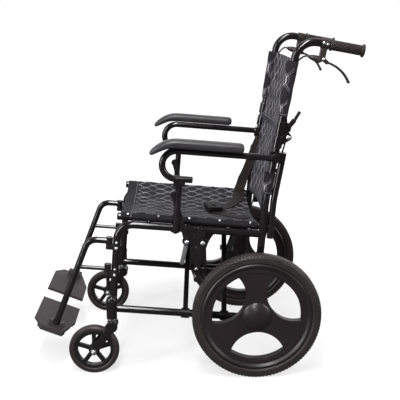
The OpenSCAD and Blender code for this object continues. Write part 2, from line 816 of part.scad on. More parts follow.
module left_brake_shoe() {
  color("#222225") raked() difference() {
    union() {
      side(park_x) linear_extrude(lever_t) {
        strip([shoe_pivot_u, park_w], [shoe_u, shoe_w], 18);
        circle_at([shoe_pivot_u, park_w], 11);
      }
      rod([park_x, shoe_u, shoe_w], [wheel_x + 8, shoe_u, shoe_w], shoe_d / 2);
      rod([stop_x - 2.5, shoe_u, shoe_w + 16], [park_x + 7, shoe_u, shoe_w + 16], 5);
    }
    rod([park_x - 20, shoe_pivot_u, park_w], [park_x + 20, shoe_pivot_u, park_w], 4 + run_fit);
  }
}

// Brake cables, swept along hand-picked points
function ring_dir(p, i) = let (last = len(p) - 1)
  (p[min(i + 1, last)] - p[max(i - 1, 0)]) / norm(p[min(i + 1, last)] - p[max(i - 1, 0)]);
function ring_side(d) = let (c = cross(d, [1, 0, 0])) norm(c) > 0.2 ? c / norm(c) : [0, 0, 1];
module cable(p) {
  n = 8;
  verts = [for (i = [0:len(p) - 1], k = [0:n - 1])
    let (d = ring_dir(p, i), a = ring_side(d), b = cross(d, a))
      p[i] + (a * cos(k * 360 / n) + b * sin(k * 360 / n)) * cable_d / 2];
  last = (len(p) - 1) * n;
  sides = [for (i = [0:len(p) - 2], k = [0:n - 1])
    each [[i * n + k, i * n + (k + 1) % n, (i + 1) * n + k],
          [i * n + (k + 1) % n, (i + 1) * n + (k + 1) % n, (i + 1) * n + k]]];
  ends = [for (k = [1:n - 2]) each [[0, k + 1, k], [last, last + k, last + k + 1]]];
  polyhedron(verts, concat(sides, ends));
}

// From the perch, round to the inner side of the back tube and down to the hinge
module left_cable_upper() {
  x = frame_half;
  top = handle_height - lever_drop;
  near = x - tube_r - cable_d;
  color("#101011") leaning() cable([
    [x, barrel_v - 1, top], [x - 0.8, barrel_v - 5, top - 0.3], [x - 4, barrel_v - 11, top - 3],
    [x - 8, barrel_v - 17, top - 9], [x - 12, barrel_v - 22.6, top - 17], [near + 1.2, 9.8, top - 26],
    [near, 8.4, top - 37], [near, 8.4, top - 120], [near - 0.4, 9.4, hinge_height + 84],
    [near - 1, 12.5, hinge_height + 56], [near - 1.2, 19, hinge_height + 30],
    [near - 0.9, 23.6, hinge_height + 14], [near - 0.9, hinge_offset, hinge_height + 3.4]
  ]);
}

// From the hinge down beside the back post, then forward to the shoe arm
module left_cable_lower() {
  x = frame_half;
  function at(dx, v, t) = [x + dx, on_back(v, t)[0], on_back(v, t)[1]];
  color("#101011") raked() cable([
    at(-17, hinge_offset, hinge_height - 3.4), at(-18.5, 24, hinge_height - 32), at(-19, 21, 120),
    at(-19, 20, 60), at(-18, 20, 0), [x - 17, 18, 280], [x - 17, 12, 220], [x - 17, 0, 182],
    [x - 16, -22, 152], [x - 8, -56, 130], [x + 1, -95, 119], [x + 7, -128, shoe_w + 16.6],
    [stop_x, stop_u + 11, shoe_w + 16], [stop_x, stop_u, shoe_w + 16]
  ]);
}

// Cross brace: a bar from one lower rail to the other side's seat rail
module brace_bar(u) {
  long = (frame_half + rail_x) / cos(brace_angle);
  difference() {
    union() {
      translate([frame_half, u, low_w]) rotate([0, brace_angle, 0])
        translate([-long, -bar_t / 2, -bar_h / 2]) cube([long, bar_t, bar_h]);
      rod([frame_half, u - bar_t / 2 - 5, low_w], [frame_half, u + bar_t / 2 + 5, low_w], tube_r + 4);
    }
    rod([frame_half, u - 60, low_w], [frame_half, u + 60, low_w], tube_r + run_fit);
    rod([-rail_x, u - 60, rail_w], [-rail_x, u + 60, rail_w], tube_r + seat_fit);
    translate([-rail_x - 30, u - 30, rail_w + 5]) cube([80, 60, 40]);
    rod([0, u - 60, cross_w], [0, u + 60, cross_w], pivot_d / 2 + run_fit);
  }
}

bar_gap = bar_t / 2 + 1;
module cross_brace_a() {
  color("#1c1c1e") raked() for (u = [-brace_front, -brace_rear]) brace_bar(u - bar_gap);
}

module cross_brace_b() {
  color("#7d7f83") raked() mirror([1, 0, 0])
    for (u = [-brace_front, -brace_rear]) brace_bar(u + bar_gap);
}

module brace_bolts() {
  long = 2 * bar_t + 2;
  color("#c4c6c9") raked() for (u = [-brace_front, -brace_rear]) {
    rod([0, u - long / 2 - 6, cross_w], [0, u + long / 2 + 6, cross_w], pivot_d / 2);
    rod([0, u - long / 2 - 6, cross_w], [0, u - long / 2 - 0.2, cross_w], pivot_d / 2 + 3.5);
    rod([0, u + long / 2 + 0.2, cross_w], [0, u + long / 2 + 6, cross_w], pivot_d / 2 + 3.5);
    rod([0, u - 0.7, cross_w], [0, u + 0.7, cross_w], pivot_d / 2 + 4);
  }
}

rail_rear = -tube_r - 3;
module left_seat_rail() {
  color("#1c1c1e") raked() rod([rail_x, -frame_length, rail_w], [rail_x, rail_rear, rail_w], tube_r);
}

// Slings: a shallow arc of cloth between two sleeves
function sag_r(half, sag) = (half * half + sag * sag) / (2 * sag);
module sling(half, sag, sleeve_r, hole_r) {
  r = sag_r(half, sag);
  difference() {
    union() {
      intersection() {
        translate([0, r - sag]) difference() {
          circle(r = r + cloth_t / 2, $fn = 160);
          circle(r = r - cloth_t / 2, $fn = 160);
        }
        translate([-half, -sag - 10]) square([2 * half, sag + 20]);
      }
      for (x = [-half, half]) translate([x, 0]) circle(sleeve_r);
    }
    for (x = [-half, half]) translate([x, 0]) circle(hole_r);
  }
}

sleeve_r = tube_r + cloth_t;
seat_from = -frame_length + 6;
seat_to = rail_rear - 14;
module left_seat_sling() {
  color("#35333a") raked() translate([0, seat_to, rail_w]) rotate([90, 0, 0])
    linear_extrude(seat_to - seat_from) intersection() {
      seat_section();
      translate([0.05, -200]) square([frame_half + 100, 400]);
    }
}

// The seat's cloth sags from the tops of the rails and is wrapped over their outsides
wrap_in = tube_r + 0.3;
seat_top = wrap_in + cloth_t / 2;
module seat_section() {
  r = sag_r(rail_x, seat_sag);
  intersection() {
    translate([0, seat_top + r - seat_sag]) difference() {
      circle(r = r + cloth_t / 2, $fn = 160);
      circle(r = r - cloth_t / 2, $fn = 160);
    }
    translate([-rail_x - 0.6, seat_top - seat_sag - 10]) square([2 * rail_x + 1.2, seat_sag + 20]);
  }
  for (s = [-1, 1]) {
    scale([s, 1]) translate([rail_x, 0]) intersection() {
      difference() {
        circle(wrap_in + cloth_t);
        circle(wrap_in);
      }
      translate([0, 3]) square([40, 40]);
    }
  }
}

// The back sling: sleeves on the tubes, and between them a panel that clears the hinges
panel_half = frame_half - tube_r - clamp_wall - 2.5;
upper_from = hinge_height + 5;
upper_sleeve = hinge_height + 56;
upper_to = handle_height - handle_bend - 8;
lower_from = 8;
lower_sleeve = stay_high - 32;
panel_low = -78;

module back_band(low, high, half) {
  translate([0, 0, low]) mirror([0, 1, 0]) linear_extrude(high - low) intersection() {
    sling(frame_half, back_sag, sleeve_r, tube_r + 0.3);
    translate([-half, -60]) square([2 * half, 120]);
  }
}

module back_sling_upper() {
  color("#35333a") leaning() {
    back_band(upper_sleeve, upper_to, frame_half + sleeve_r + 5);
    back_band(upper_from, upper_sleeve + 1, panel_half);
  }
}

module back_sling_lower() {
  color("#35333a") leaning() {
    back_band(lower_from, lower_sleeve, frame_half + sleeve_r + 5);
    back_band(panel_low, hinge_height - 1, panel_half);
  }
}

// Lap belt: one strap stands against the right post, the other lies on the seat
strap_w = 38;
buckle = [50, -140];
module lap_belt() {
  r = sag_r(rail_x, seat_sag) - cloth_t / 2 - 0.3;
  color("#191517") {
    leaning() translate([-frame_half + sleeve_r + 0.4, -strap_w - 4, panel_low])
      cube([2, strap_w, arm_pivot - 21 - panel_low]);
    raked() {
      intersection() {
        translate([0, 0, rail_w + seat_top + sag_r(rail_x, seat_sag) - seat_sag]) rotate([90, 0, 0])
          difference() {
            cylinder(h = frame_length, r = r, $fn = 160);
            translate([0, 0, -1]) cylinder(h = frame_length + 2, r = r - 1.8, $fn = 160);
          }
        translate([0, 0, rail_w - 60]) linear_extrude(60 + rail_rise) {
          strap_outline([-185, -60], buckle);
          strap_outline(buckle, [185, -48]);
        }
      }
      translate([buckle[0] - 30, buckle[1] - 24, rail_w + seat_top - seat_sag + 5]) cube([60, 48, 12]);
    }
  }
}

module strap_outline(a, b) {
  d = b - a;
  translate(a) rotate([0, 0, atan2(d[1], d[0])]) translate([0, -strap_w / 2]) square([norm(d), strap_w]);
}

module right_side() {
  mirror([1, 0, 0]) children();
}

left_side_frame();
left_rear_axle();
left_armrest_mounts();
left_hanger_brackets();
left_brake_bracket();
left_back_hinge();
left_back_tube();
left_grip();
left_brake_perch();
left_brake_lever();
left_release_lever();
left_armrest_tube();
left_armrest_pad();
left_rear_wheel();
left_rear_tyre();
left_caster_fork();
left_caster_axle();
left_caster_wheel();
left_caster_tyre();
left_footrest_hanger();
left_footplate();
left_parking_lever();
left_brake_shoe();
left_cable_upper();
left_cable_lower();
right_side() left_side_frame();  // right_side_frame
right_side() left_rear_axle();  // right_rear_axle
right_side() left_armrest_mounts();  // right_armrest_mounts
right_side() left_hanger_brackets();  // right_hanger_brackets
right_side() left_brake_bracket();  // right_brake_bracket
right_side() left_back_hinge();  // right_back_hinge
right_side() left_back_tube();  // right_back_tube
right_side() left_grip();  // right_grip
right_side() left_brake_perch();  // right_brake_perch
right_side() left_brake_lever();  // right_brake_lever
right_side() left_release_lever();  // right_release_lever
right_side() left_armrest_tube();  // right_armrest_tube
right_side() left_armrest_pad();  // right_armrest_pad
right_side() left_rear_wheel();  // right_rear_wheel
right_side() left_rear_tyre();  // right_rear_tyre
right_side() left_caster_fork();  // right_caster_fork
right_side() left_caster_axle();  // right_caster_axle
right_side() left_caster_wheel();  // right_caster_wheel
right_side() left_caster_tyre();  // right_caster_tyre
right_side() left_footrest_hanger();  // right_footrest_hanger
right_side() left_footplate();  // right_footplate
right_side() left_parking_lever();  // right_parking_lever
right_side() left_brake_shoe();  // right_brake_shoe
right_side() left_cable_upper();  // right_cable_upper
right_side() left_cable_lower();  // right_cable_lower
cross_brace_a();
cross_brace_b();
right_side() left_seat_rail();  // right_seat_rail
left_seat_rail();
brace_bolts();
left_seat_sling();
right_side() left_seat_sling();  // right_seat_sling
back_sling_upper();
back_sling_lower();
lap_belt();
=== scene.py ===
# %% [markdown]
# A folding transit wheelchair, dressed for a studio picture. The welded frame, the wheels and the
# brakes come from the solid model as a fixed skeleton. This lesson gives them their finishes and
# adds what a solid model leaves plain: the cloth, the foam, the belt, the cables and the small
# hardware. Each step says what the piece is on a real chair, how it could be made, and why it is
# made this way here.

# %% Load the solid model
import math

import bpy
from mathutils import Matrix, Vector


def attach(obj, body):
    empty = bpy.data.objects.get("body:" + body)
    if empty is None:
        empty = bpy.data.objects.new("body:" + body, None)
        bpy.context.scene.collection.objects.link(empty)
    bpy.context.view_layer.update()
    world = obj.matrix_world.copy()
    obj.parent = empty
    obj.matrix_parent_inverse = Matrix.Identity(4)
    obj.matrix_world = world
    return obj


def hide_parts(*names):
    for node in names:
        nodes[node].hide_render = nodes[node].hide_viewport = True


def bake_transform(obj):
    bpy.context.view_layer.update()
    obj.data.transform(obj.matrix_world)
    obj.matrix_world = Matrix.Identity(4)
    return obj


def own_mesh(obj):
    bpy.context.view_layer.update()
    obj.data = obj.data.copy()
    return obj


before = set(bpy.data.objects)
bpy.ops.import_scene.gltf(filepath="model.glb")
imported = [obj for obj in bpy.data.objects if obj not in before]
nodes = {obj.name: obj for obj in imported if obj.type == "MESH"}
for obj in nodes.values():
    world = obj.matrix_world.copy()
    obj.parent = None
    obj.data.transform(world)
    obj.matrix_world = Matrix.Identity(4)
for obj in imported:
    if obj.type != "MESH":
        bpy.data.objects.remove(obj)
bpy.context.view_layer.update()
print("solid nodes:", len(nodes))

# %% [markdown]
# The chair is drawn in two slanted frames of its own. The side frames rake back a little, and above
# a bend the back leans further. Places could be typed in the scene's own directions, but then a
# rivet and the rail it sits on would share no number. Two small functions turn places along the
# tubes, in millimetres, into metres in the scene, so every piece lands on the tube that carries it.

# %% The chair's own slanted frames
AXLE_Y, AXLE_Z = 182.437, 190.0
RAKE = math.radians(4.7)
LEAN = math.radians(5.6)
BEND_R, BEND_W = 200.0, 325.0
BACK_U = BEND_R * (1 - math.cos(LEAN))
BACK_W = BEND_W + BEND_R * math.sin(LEAN)
SIDE_X, TUBE_R = 230.0, 11.1
RAIL_X, RAIL_W = 218.0, 250.5
SIDES = (("left", 1), ("right", -1))


def raked(x, u, w):
    """A place on the side frames, from the rear axle: u runs to the rear and w up."""
    y = AXLE_Y + u * math.cos(RAKE) + w * math.sin(RAKE)
    z = AXLE_Z - u * math.sin(RAKE) + w * math.cos(RAKE)
    return Vector((x, y, z)) / 1000


def leaning_point(x, v, s):
    """A place on the leaning back, v to the rear and s up from the bend, in the raked frame."""
    u = BACK_U + v * math.cos(LEAN) + s * math.sin(LEAN)
    w = BACK_W - v * math.sin(LEAN) + s * math.cos(LEAN)
    return x, u, w


def leaning(x, v, s):
    return raked(*leaning_point(x, v, s))


AXLE = raked(0, 0, 0)
print("axle:", AXLE, "left bend:", leaning(SIDE_X, 0, 0))

# %% [markdown]
# The photograph was taken from the chair's left with a long lens, a little above the armrests. A
# camera could be aimed at an empty object by a constraint. A place and a direction are plainer, and
# they come straight from the fit to the wheels. The camera goes in first, since everything is
# judged through it.

# %% Camera
CAMERA_AT = Vector((2.554, -0.0466, 1.081))
CAMERA_LOOK = Vector((-0.9721, 0.0270, -0.2329))
LENS_MM, SENSOR_MM = 73.85, 36
bpy.ops.object.select_all(action="DESELECT")
bpy.ops.object.camera_add(location=CAMERA_AT)
camera = bpy.context.object
camera.rotation_euler = CAMERA_LOOK.to_track_quat("-Z", "Y").to_euler()
camera.data.lens = LENS_MM
camera.data.sensor_width = SENSOR_MM
bpy.context.scene.camera = camera
print("camera at", CAMERA_AT)

# %% [markdown]
# Every finish below is a small tree of shader nodes. One function turns the hex colours of a paint
# chart into the linear numbers that the renderer wants, and one adds a node with its settings and
# its links, so that each finish reads as a short list.


# %% Helpers for materials
def linear(hex_colour):
    """An sRGB hex colour as linear red, green, blue and alpha."""
    parts = [int(hex_colour[i:i + 2], 16) / 255 for i in (1, 3, 5)]
    return [c / 12.92 if c <= 0.04045 else ((c + 0.055) / 1.055) ** 2.4 for c in parts] + [1.0]


def add(tree, kind, links=None, **settings):
    """Adds a node with its settings; links gives values or sockets for its inputs."""
    node = tree.nodes.new("ShaderNode" + kind)
    for name, value in settings.items():
        setattr(node, name, value)
    for socket, value in (links or {}).items():
        if isinstance(value, bpy.types.NodeSocket):
            tree.links.new(value, node.inputs[socket])
        else:
            node.inputs[socket].default_value = value
    return node


def new_finish(name):
    finish = bpy.data.materials.new(name)
    finish.use_nodes = True
    finish.node_tree.nodes.clear()
    return finish, finish.node_tree


print("mid grey in linear light:", round(linear("#808080")[0], 3))

# %% [markdown]
# A plain studio. Gloss black shows whatever stands around it, so the room matters: a white sweep
# behind the chair, and a dim room on the camera's side, which keeps the black deep. Large white
# walls could be built for that. The world's colour does the same with no walls to hide: it runs
# from white to dim by direction. The soft light on dull surfaces comes mostly from above, so that
# tops read lighter than sides. The camera sees plain white.

# %% Studio world
world = bpy.data.worlds.new("studio world")
world.use_nodes = True
bpy.context.scene.world = world
sky = world.node_tree
sky.nodes.clear()
rays = add(sky, "LightPath")
toward = add(sky, "SeparateXYZ", {0: add(sky, "TexCoord").outputs["Generated"]})
room = add(sky, "MapRange", {"Value": toward.outputs[0], "From Min": -0.55, "From Max": 0.35,
                             "To Min": 1.0, "To Max": 0.05}, interpolation_type="SMOOTHSTEP")
seen = add(sky, "Math", {0: rays.outputs["Is Camera Ray"], 1: rays.outputs["Is Transmission Ray"]},
           operation="MAXIMUM")
shown = add(sky, "Math", {0: seen.outputs[0], 1: room.outputs[0]}, operation="MAXIMUM")
plain = add(sky, "Math", {0: seen.outputs[0], 1: rays.outputs["Is Glossy Ray"]}, operation="MAXIMUM")
above = add(sky, "MapRange", {"Value": toward.outputs[2], "From Min": -0.1, "From Max": 0.9,
                              "To Min": 0.08, "To Max": 0.5})
strength = add(sky, "Mix", {0: plain.outputs[0], 2: above.outputs[0], 3: shown.outputs[0]},
               data_type="FLOAT")
shine = add(sky, "Background", {"Color": (1, 1, 1, 1), "Strength": strength.outputs[0]})
add(sky, "OutputWorld", {"Surface": shine.outputs[0]})
print("world nodes:", len(sky.nodes))

# %% [markdown]
# The floor is white paper. More light would whiten it and wash out the chair as well. Instead it
# keeps the chair's soft shadow as a diffuse surface, and a share of glow that only the camera sees
# lifts the bare paper to white, less so near the chair, where the lamps light it anyway. Black
# cards lie in front of a glossy object in a real studio, so what the gloss mirrors of it is dim.

# %% Studio floor
FLOOR_SIDE = 40
bpy.ops.object.select_all(action="DESELECT")
bpy.ops.mesh.primitive_plane_add(size=FLOOR_SIDE)
floor = bpy.context.object
floor.name = "studio_floor"
paper, tree = new_finish("seamless white paper")
rays = add(tree, "LightPath")
mirrored = add(tree, "MapRange", {"Value": rays.outputs["Is Glossy Ray"],
                                  "To Min": 0.3, "To Max": 0.1})
matt = add(tree, "BsdfDiffuse", {"Color": mirrored.outputs[0]})
away = add(tree, "VectorMath", {0: add(tree, "TexCoord").outputs["Object"]}, operation="LENGTH")
share = add(tree, "MapRange", {"Value": away.outputs["Value"], "From Min": 0.3, "From Max": 1.4,
                               "To Min": 0.66, "To Max": 0.93})
lift = add(tree, "Math", {0: rays.outputs["Is Camera Ray"], 1: share.outputs[0]},
           operation="MULTIPLY")
glow = add(tree, "Emission", {"Color": (1, 1, 1, 1), "Strength": lift.outputs[0]})
both = add(tree, "AddShader", {0: matt.outputs[0], 1: glow.outputs[0]})
add(tree, "OutputMaterial", {"Surface": both.outputs[0]})
floor.data.materials.append(paper)
print("floor side:", floor.dimensions.x)

# %% [markdown]
# Long strip lamps draw the thin bright lines that run along the tubes. Round or square lamps would
# leave short spots instead. One strip lies overhead along the chair's length for the level tubes,
# one stands upright in front for the posts, and a third stands behind for the handles.

# %% Strip lamps
LAMPS = (
    ("overhead strip", (1.5, -0.2, 2.5), (0.4, 2.6), 90),
    ("front strip", (1.9, -2.3, 1.3), (0.35, 2.2), 66),
    ("rear strip", (1.2, 2.6, 1.6), (0.35, 2.0), 40),
)
LAMP_AIM = Vector((0, 0, 0.45))
for name, place, (wide, tall), watts in LAMPS:
    bpy.ops.object.light_add(type="AREA", location=place)
    lamp = bpy.context.object
    lamp.name = name
    lamp.data.shape = "RECTANGLE"
    lamp.data.size = wide
    lamp.data.size_y = tall
    lamp.data.energy = watts
    lamp.rotation_euler = (LAMP_AIM - Vector(place)).to_track_quat("-Z", "Y").to_euler()
bpy.context.scene.view_settings.view_transform = "Standard"
print("lamps:", len(LAMPS))

# %% [markdown]
# The hard finishes share one recipe. Powder coat has a faint orange peel that breaks up its
# highlights, moulded nylon and ABS have a fine spark-eroded grain, rubber is dull and slightly
# brown, and plated steel is bright. Each could have a tree of its own, but they differ only in
# colour, dullness and grain, so one function makes them all. The grain is set in millimetres on
# Object coordinates, and a rounding of just under a millimetre catches light along the edges.

# %% A recipe for hard finishes
PATCHES_PER_METRE = 14.0
VARY = 0.06
EDGE_ROUND = 0.0009
GRAIN_DEEP = 0.0004


def coated(name, colour, rough, grain_mm, bump, metal=0.0, spec=0.5):
    """A moulded, painted or plated surface: a base colour that varies, and a fine grain."""
    finish, tree = new_finish(name)
    place = add(tree, "TexCoord")
    grain = add(tree, "TexNoise", {"Vector": place.outputs["Object"], "Scale": 1000 / grain_mm,
                                   "Detail": 3.0, "Roughness": 0.6})
    patch = add(tree, "TexNoise", {"Vector": place.outputs["Object"],
                                   "Scale": PATCHES_PER_METRE, "Detail": 4.0})
    dark = [c * (1 - VARY * 3) for c in linear(colour)[:3]] + [1]
    light = [min(1, c * (1 + VARY * 3)) for c in linear(colour)[:3]] + [1]
    shade = add(tree, "Mix", {0: patch.outputs[0], 6: dark, 7: light}, data_type="RGBA")
    dull = add(tree, "MapRange", {"Value": patch.outputs[0], "From Min": 0.3, "From Max": 0.7,
                                  "To Min": max(0.03, rough - VARY), "To Max": rough + VARY})
    worn = add(tree, "Bevel", {"Radius": EDGE_ROUND}, samples=4)
    relief = add(tree, "Bump", {"Height": grain.outputs[0], "Strength": bump,
                                "Distance": GRAIN_DEEP, "Normal": worn.outputs[0]})
    skin = add(tree, "BsdfPrincipled", {
        "Base Color": shade.outputs[2], "Roughness": dull.outputs[0], "Normal": relief.outputs[0],
        "Metallic": metal, "Specular IOR Level": spec})
    add(tree, "OutputMaterial", {"Surface": skin.outputs[0]})
    return finish


print("recipe varies colour and dullness by", VARY)

# %% [markdown]
# The chair's own finishes, from that recipe: colour, dullness, grain in millimetres, and how deep
# the grain looks. Grains under a millimetre are drawn a little coarser than the real ones, so that
# they show. The blacks differ on purpose, because paint, nylon, rubber and foam do in daylight.

# %% The chair's hard finishes
# Powder-coated steel: deep black, with a clear shine that runs along the tubes
black_coat = coated("black powder coat", "#110e10", 0.17, 1.2, 0.03)
# Zinc-plated and polished steel: bright bolts, pins and wire
plated = coated("plated steel", "#e2e3e5", 0.3, 0.6, 0.03, metal=1.0)
# Glass-filled nylon of the rear wheels: warm charcoal with a moulded grain
charcoal_nylon = coated("charcoal nylon", "#1e1719", 0.36, 0.9, 0.08, spec=0.38)
# Black nylon of levers, plugs and caster wheels: a satin black
black_nylon = coated("black nylon", "#141113", 0.28, 0.8, 0.1)
# Nylon of the hand brakes: a little browner and duller
brake_nylon = coated("brown-black nylon", "#231c1b", 0.36, 0.8, 0.1)
# Galvanised strip steel: mid grey, slightly dull
grey_steel = coated("galvanised steel", "#8d8d90", 0.42, 1.4, 0.06, metal=0.8)
# Moulded plastic of the belt buckle: black and dull
buckle_plastic = coated("buckle plastic", "#0f0d0d", 0.5, 0.8, 0.08, spec=0.25)
# Solid tyre rubber: dull, a brown black
tyre_rubber = coated("tyre rubber", "#262020", 0.45, 0.7, 0.15, spec=0.35)
# ABS of the footplates: dark grey with a coarse leather grain
plate_abs = coated("grained ABS", "#2a2426", 0.58, 1.8, 0.3)
# Skinned foam of the arm pads: grey-black, softly dull
pad_foam = coated("skinned foam", "#232124", 0.42, 1.1, 0.22)
# Rubber of the grips: brown-black
grip_rubber = coated("grip rubber", "#1c1615", 0.42, 0.9, 0.2)
# Vinyl casing of the cables: black, smooth and slightly dull
casing = coated("cable casing", "#151516", 0.4, 0.5, 0.05)
print("hard finishes, from", black_coat.name, "to", casing.name)

# %% [markdown]
# Each solid node gets the finish of what it is on the real chair. Left and right pieces share one
# entry. What isn't in the list is painted steel, or a soft solid that cloth or webbing replaces.

# %% Finishes of the solid nodes
FINISHES = (
    (plated, ("rear_axle", "caster_axle", "brace_bolts")),
    (charcoal_nylon, ("rear_wheel",)),
    (tyre_rubber, ("rear_tyre", "caster_tyre")),
    (black_nylon, ("caster_wheel", "hanger_brackets", "parking_lever", "release_lever")),
    (brake_nylon, ("brake_perch", "brake_lever")),
    (plate_abs, ("footplate",)),
    (pad_foam, ("armrest_pad",)),
    (grip_rubber, ("grip",)),
    (casing, ("cable_upper", "cable_lower")),
)
FINISH_OF = {name: finish for finish, names in FINISHES for name in names}
for name, item in nodes.items():
    finish = FINISH_OF.get(name.replace("left_", "").replace("right_", ""), black_coat)
    item.data.materials.clear()
    item.data.materials.append(finish)
print("finished nodes:", len(nodes))

# %% [markdown]
# The cloth is woven nylon, nearly black with a violet cast, and pale threads run through it in
# plain wavy lines. A painted picture could carry them, but it would blur up close. Here they are
# worked out from the cloth's own map, which is in metres: two families of waves that mirror each
# other make long lozenges, a fainter line doubles each, and slow noise lets the waves wander.

# %% Wavy lines of pale thread
WANDER, WANDERS_PER_METRE = 1.6, 7.0
LINE_CORE = 0.28
# Which way a line swings, its place in a step, and how strong it is
LINES = ((1, 0.0, 1.0), (-1, 0.5, 0.8), (1, 0.13, 0.35), (-1, 0.37, 0.35))


def wavy_lines(tree, place, split, step_mm, swing_mm, length_mm, line_mm):
    """Lines step_mm apart that swing by swing_mm over length_mm, from 0 beside them to 1 on them."""
    wobble = add(tree, "TexNoise", {"Vector": place.outputs[0], "Scale": WANDERS_PER_METRE,
                                    "Detail": 1.0})
    phase = add(tree, "Math", {0: split.outputs[1], 1: 2 * math.pi * 1000 / length_mm},
                operation="MULTIPLY")
    drift = add(tree, "Math", {0: wobble.outputs[0], 1: WANDER, 2: phase.outputs[0]},
                operation="MULTIPLY_ADD")
    wave = add(tree, "Math", {0: drift.outputs[0]}, operation="SINE")
    total = None
    for sign, offset, share in LINES:
        moved = add(tree, "Math", {0: wave.outputs[0], 1: sign * swing_mm / 1000,
                                   2: split.outputs[0]}, operation="MULTIPLY_ADD")
        turns = add(tree, "Math", {0: moved.outputs[0], 1: 1000 / step_mm, 2: offset},
                    operation="MULTIPLY_ADD")
        saw = add(tree, "Math", {0: turns.outputs[0], 1: 0.5}, operation="PINGPONG")
        line = add(tree, "MapRange", {"Value": saw.outputs[0],
                                      "From Min": LINE_CORE * line_mm / step_mm,
                                      "From Max": line_mm / step_mm,
                                      "To Min": share, "To Max": 0.0})
        total = line if total is None else add(
            tree, "Math", {0: total.outputs[0], 1: line.outputs[0]}, operation="MAXIMUM")
    return total


print("lines in one step of the pattern:", len(LINES))

# %% [markdown]
# Cloth that is sewn has plain edges: its sides are turned over, and its front hem is held by a row
# of stitches. Modelled stitches would be thousands of tiny pieces. A row drawn on the map, paler
# than the cloth, is enough at this distance.

# %% Plain edges and stitches
STITCH = 0.005
STITCH_GAP = 0.0008
STITCH_HALF_WIDE = 0.0009
STITCH_IN_MM = 4
STITCH_PALE = 0.3


def plain_edges(tree, split, wide_mm, plain_mm, hem_mm):
    """1 where the pattern shows, 0 on the turned-over sides and on the front hem."""
    inner = wide_mm / 2000 - plain_mm / 1000
    middle = add(tree, "Math", {0: split.outputs[0], 1: -wide_mm / 2000}, operation="ADD")
    inside = add(tree, "Math", {0: middle.outputs[0]}, operation="ABSOLUTE")
    sides = add(tree, "MapRange", {"Value": inside.outputs[0], "From Min": inner,
                                   "From Max": inner + 0.002, "To Min": 1.0, "To Max": 0.0})
    front = add(tree, "MapRange", {"Value": split.outputs[1], "From Min": hem_mm / 1000,
                                   "From Max": hem_mm / 1000 + 0.001})
    return add(tree, "Math", {0: sides.outputs[0], 1: front.outputs[0]}, operation="MULTIPLY")


def hem_stitches(tree, split, hem_mm):
    """One row of stitches just inside the hem."""
    row = add(tree, "Math", {0: split.outputs[1], 1: (hem_mm - STITCH_IN_MM) / 1000,
                             2: STITCH_HALF_WIDE}, operation="COMPARE")
    pace = add(tree, "Math", {0: split.outputs[0], 1: STITCH / 2}, operation="PINGPONG")
    on = add(tree, "Math", {0: pace.outputs[0], 1: STITCH_GAP}, operation="GREATER_THAN")
    stitch = add(tree, "Math", {0: row.outputs[0], 1: on.outputs[0]}, operation="MULTIPLY")
    return add(tree, "Math", {0: stitch.outputs[0], 1: STITCH_PALE}, operation="MULTIPLY")


print("stitch, mm:", STITCH * 1000)

# %% [markdown]
# The whole cloth puts these together: a dark ground that varies, worn pale lines, the stitches,
# and a plain weave, over and under in both directions. The weave is drawn at 1.6 mm, coarser than
# the real thread, so that it shows. Lines and weave also lift the surface a little, as thread does.

# %% Patterned cloth
WEAVE = 0.0016
WEAR_PER_METRE = 30.0
THREAD_LIFT = 1.5
PALE_THREAD = "#c4c2c8"


def wavy_cloth(name, dark, light, step_mm, swing_mm, length_mm, line_mm, wide_mm, plain_mm, hem_mm):
    """Woven cloth with two mirrored families of wavy lines, plain edges and a stitched hem."""
    finish, tree = new_finish(name)
    place = add(tree, "UVMap")
    split = add(tree, "SeparateXYZ", {0: place.outputs[0]})
    fade = add(tree, "TexNoise", {"Vector": place.outputs[0], "Scale": WEAR_PER_METRE,
                                  "Detail": 1.0})
    worn = add(tree, "MapRange", {"Value": fade.outputs[0], "From Min": 0.3, "From Max": 0.6,
                                  "To Min": 0.25, "To Max": 1.0})
    lines = wavy_lines(tree, place, split, step_mm, swing_mm, length_mm, line_mm)
    shown = plain_edges(tree, split, wide_mm, plain_mm, hem_mm)
    drawn = add(tree, "Math", {0: lines.outputs[0], 1: shown.outputs[0]}, operation="MULTIPLY")
    faded = add(tree, "Math", {0: drawn.outputs[0], 1: worn.outputs[0]}, operation="MULTIPLY")
    sewn = hem_stitches(tree, split, hem_mm)
    thread = add(tree, "Math", {0: faded.outputs[0], 1: sewn.outputs[0]}, operation="MAXIMUM")
    ground = add(tree, "Mix", {0: fade.outputs[0], 6: linear(dark), 7: linear(light)},
                 data_type="RGBA")
    colour = add(tree, "Mix", {0: thread.outputs[0], 6: ground.outputs[2], 7: linear(PALE_THREAD)},
                 data_type="RGBA")
    across, along = (add(tree, "Math", {0: split.outputs[i], 1: 2 * math.pi / WEAVE},
                         operation="MULTIPLY") for i in (0, 1))
    warp = add(tree, "Math", {0: across.outputs[0]}, operation="SINE")
    weft = add(tree, "Math", {0: along.outputs[0]}, operation="SINE")
    weave = add(tree, "Math", {0: warp.outputs[0], 1: weft.outputs[0]}, operation="MULTIPLY")
    height = add(tree, "Math", {0: thread.outputs[0], 1: THREAD_LIFT, 2: weave.outputs[0]},
                 operation="MULTIPLY_ADD")
    relief = add(tree, "Bump", {"Height": height.outputs[0], "Strength": 0.35,
                                "Distance": GRAIN_DEEP})
    skin = add(tree, "BsdfPrincipled", {
        "Base Color": colour.outputs[2], "Roughness": 0.78, "Normal": relief.outputs[0],
        "Sheen Weight": 0.03, "Sheen Roughness": 0.4, "Specular IOR Level": 0.22})
    add(tree, "OutputMaterial", {"Surface": skin.outputs[0]})
    return finish


# Woven nylon of the seat: the darkest, with small lozenges and a wide front hem
seat_cloth = wavy_cloth("seat cloth", "#0d0b10", "#17151a", step_mm=46, swing_mm=11.5, length_mm=52,
                        line_mm=1.35, wide_mm=474, plain_mm=17, hem_mm=34)
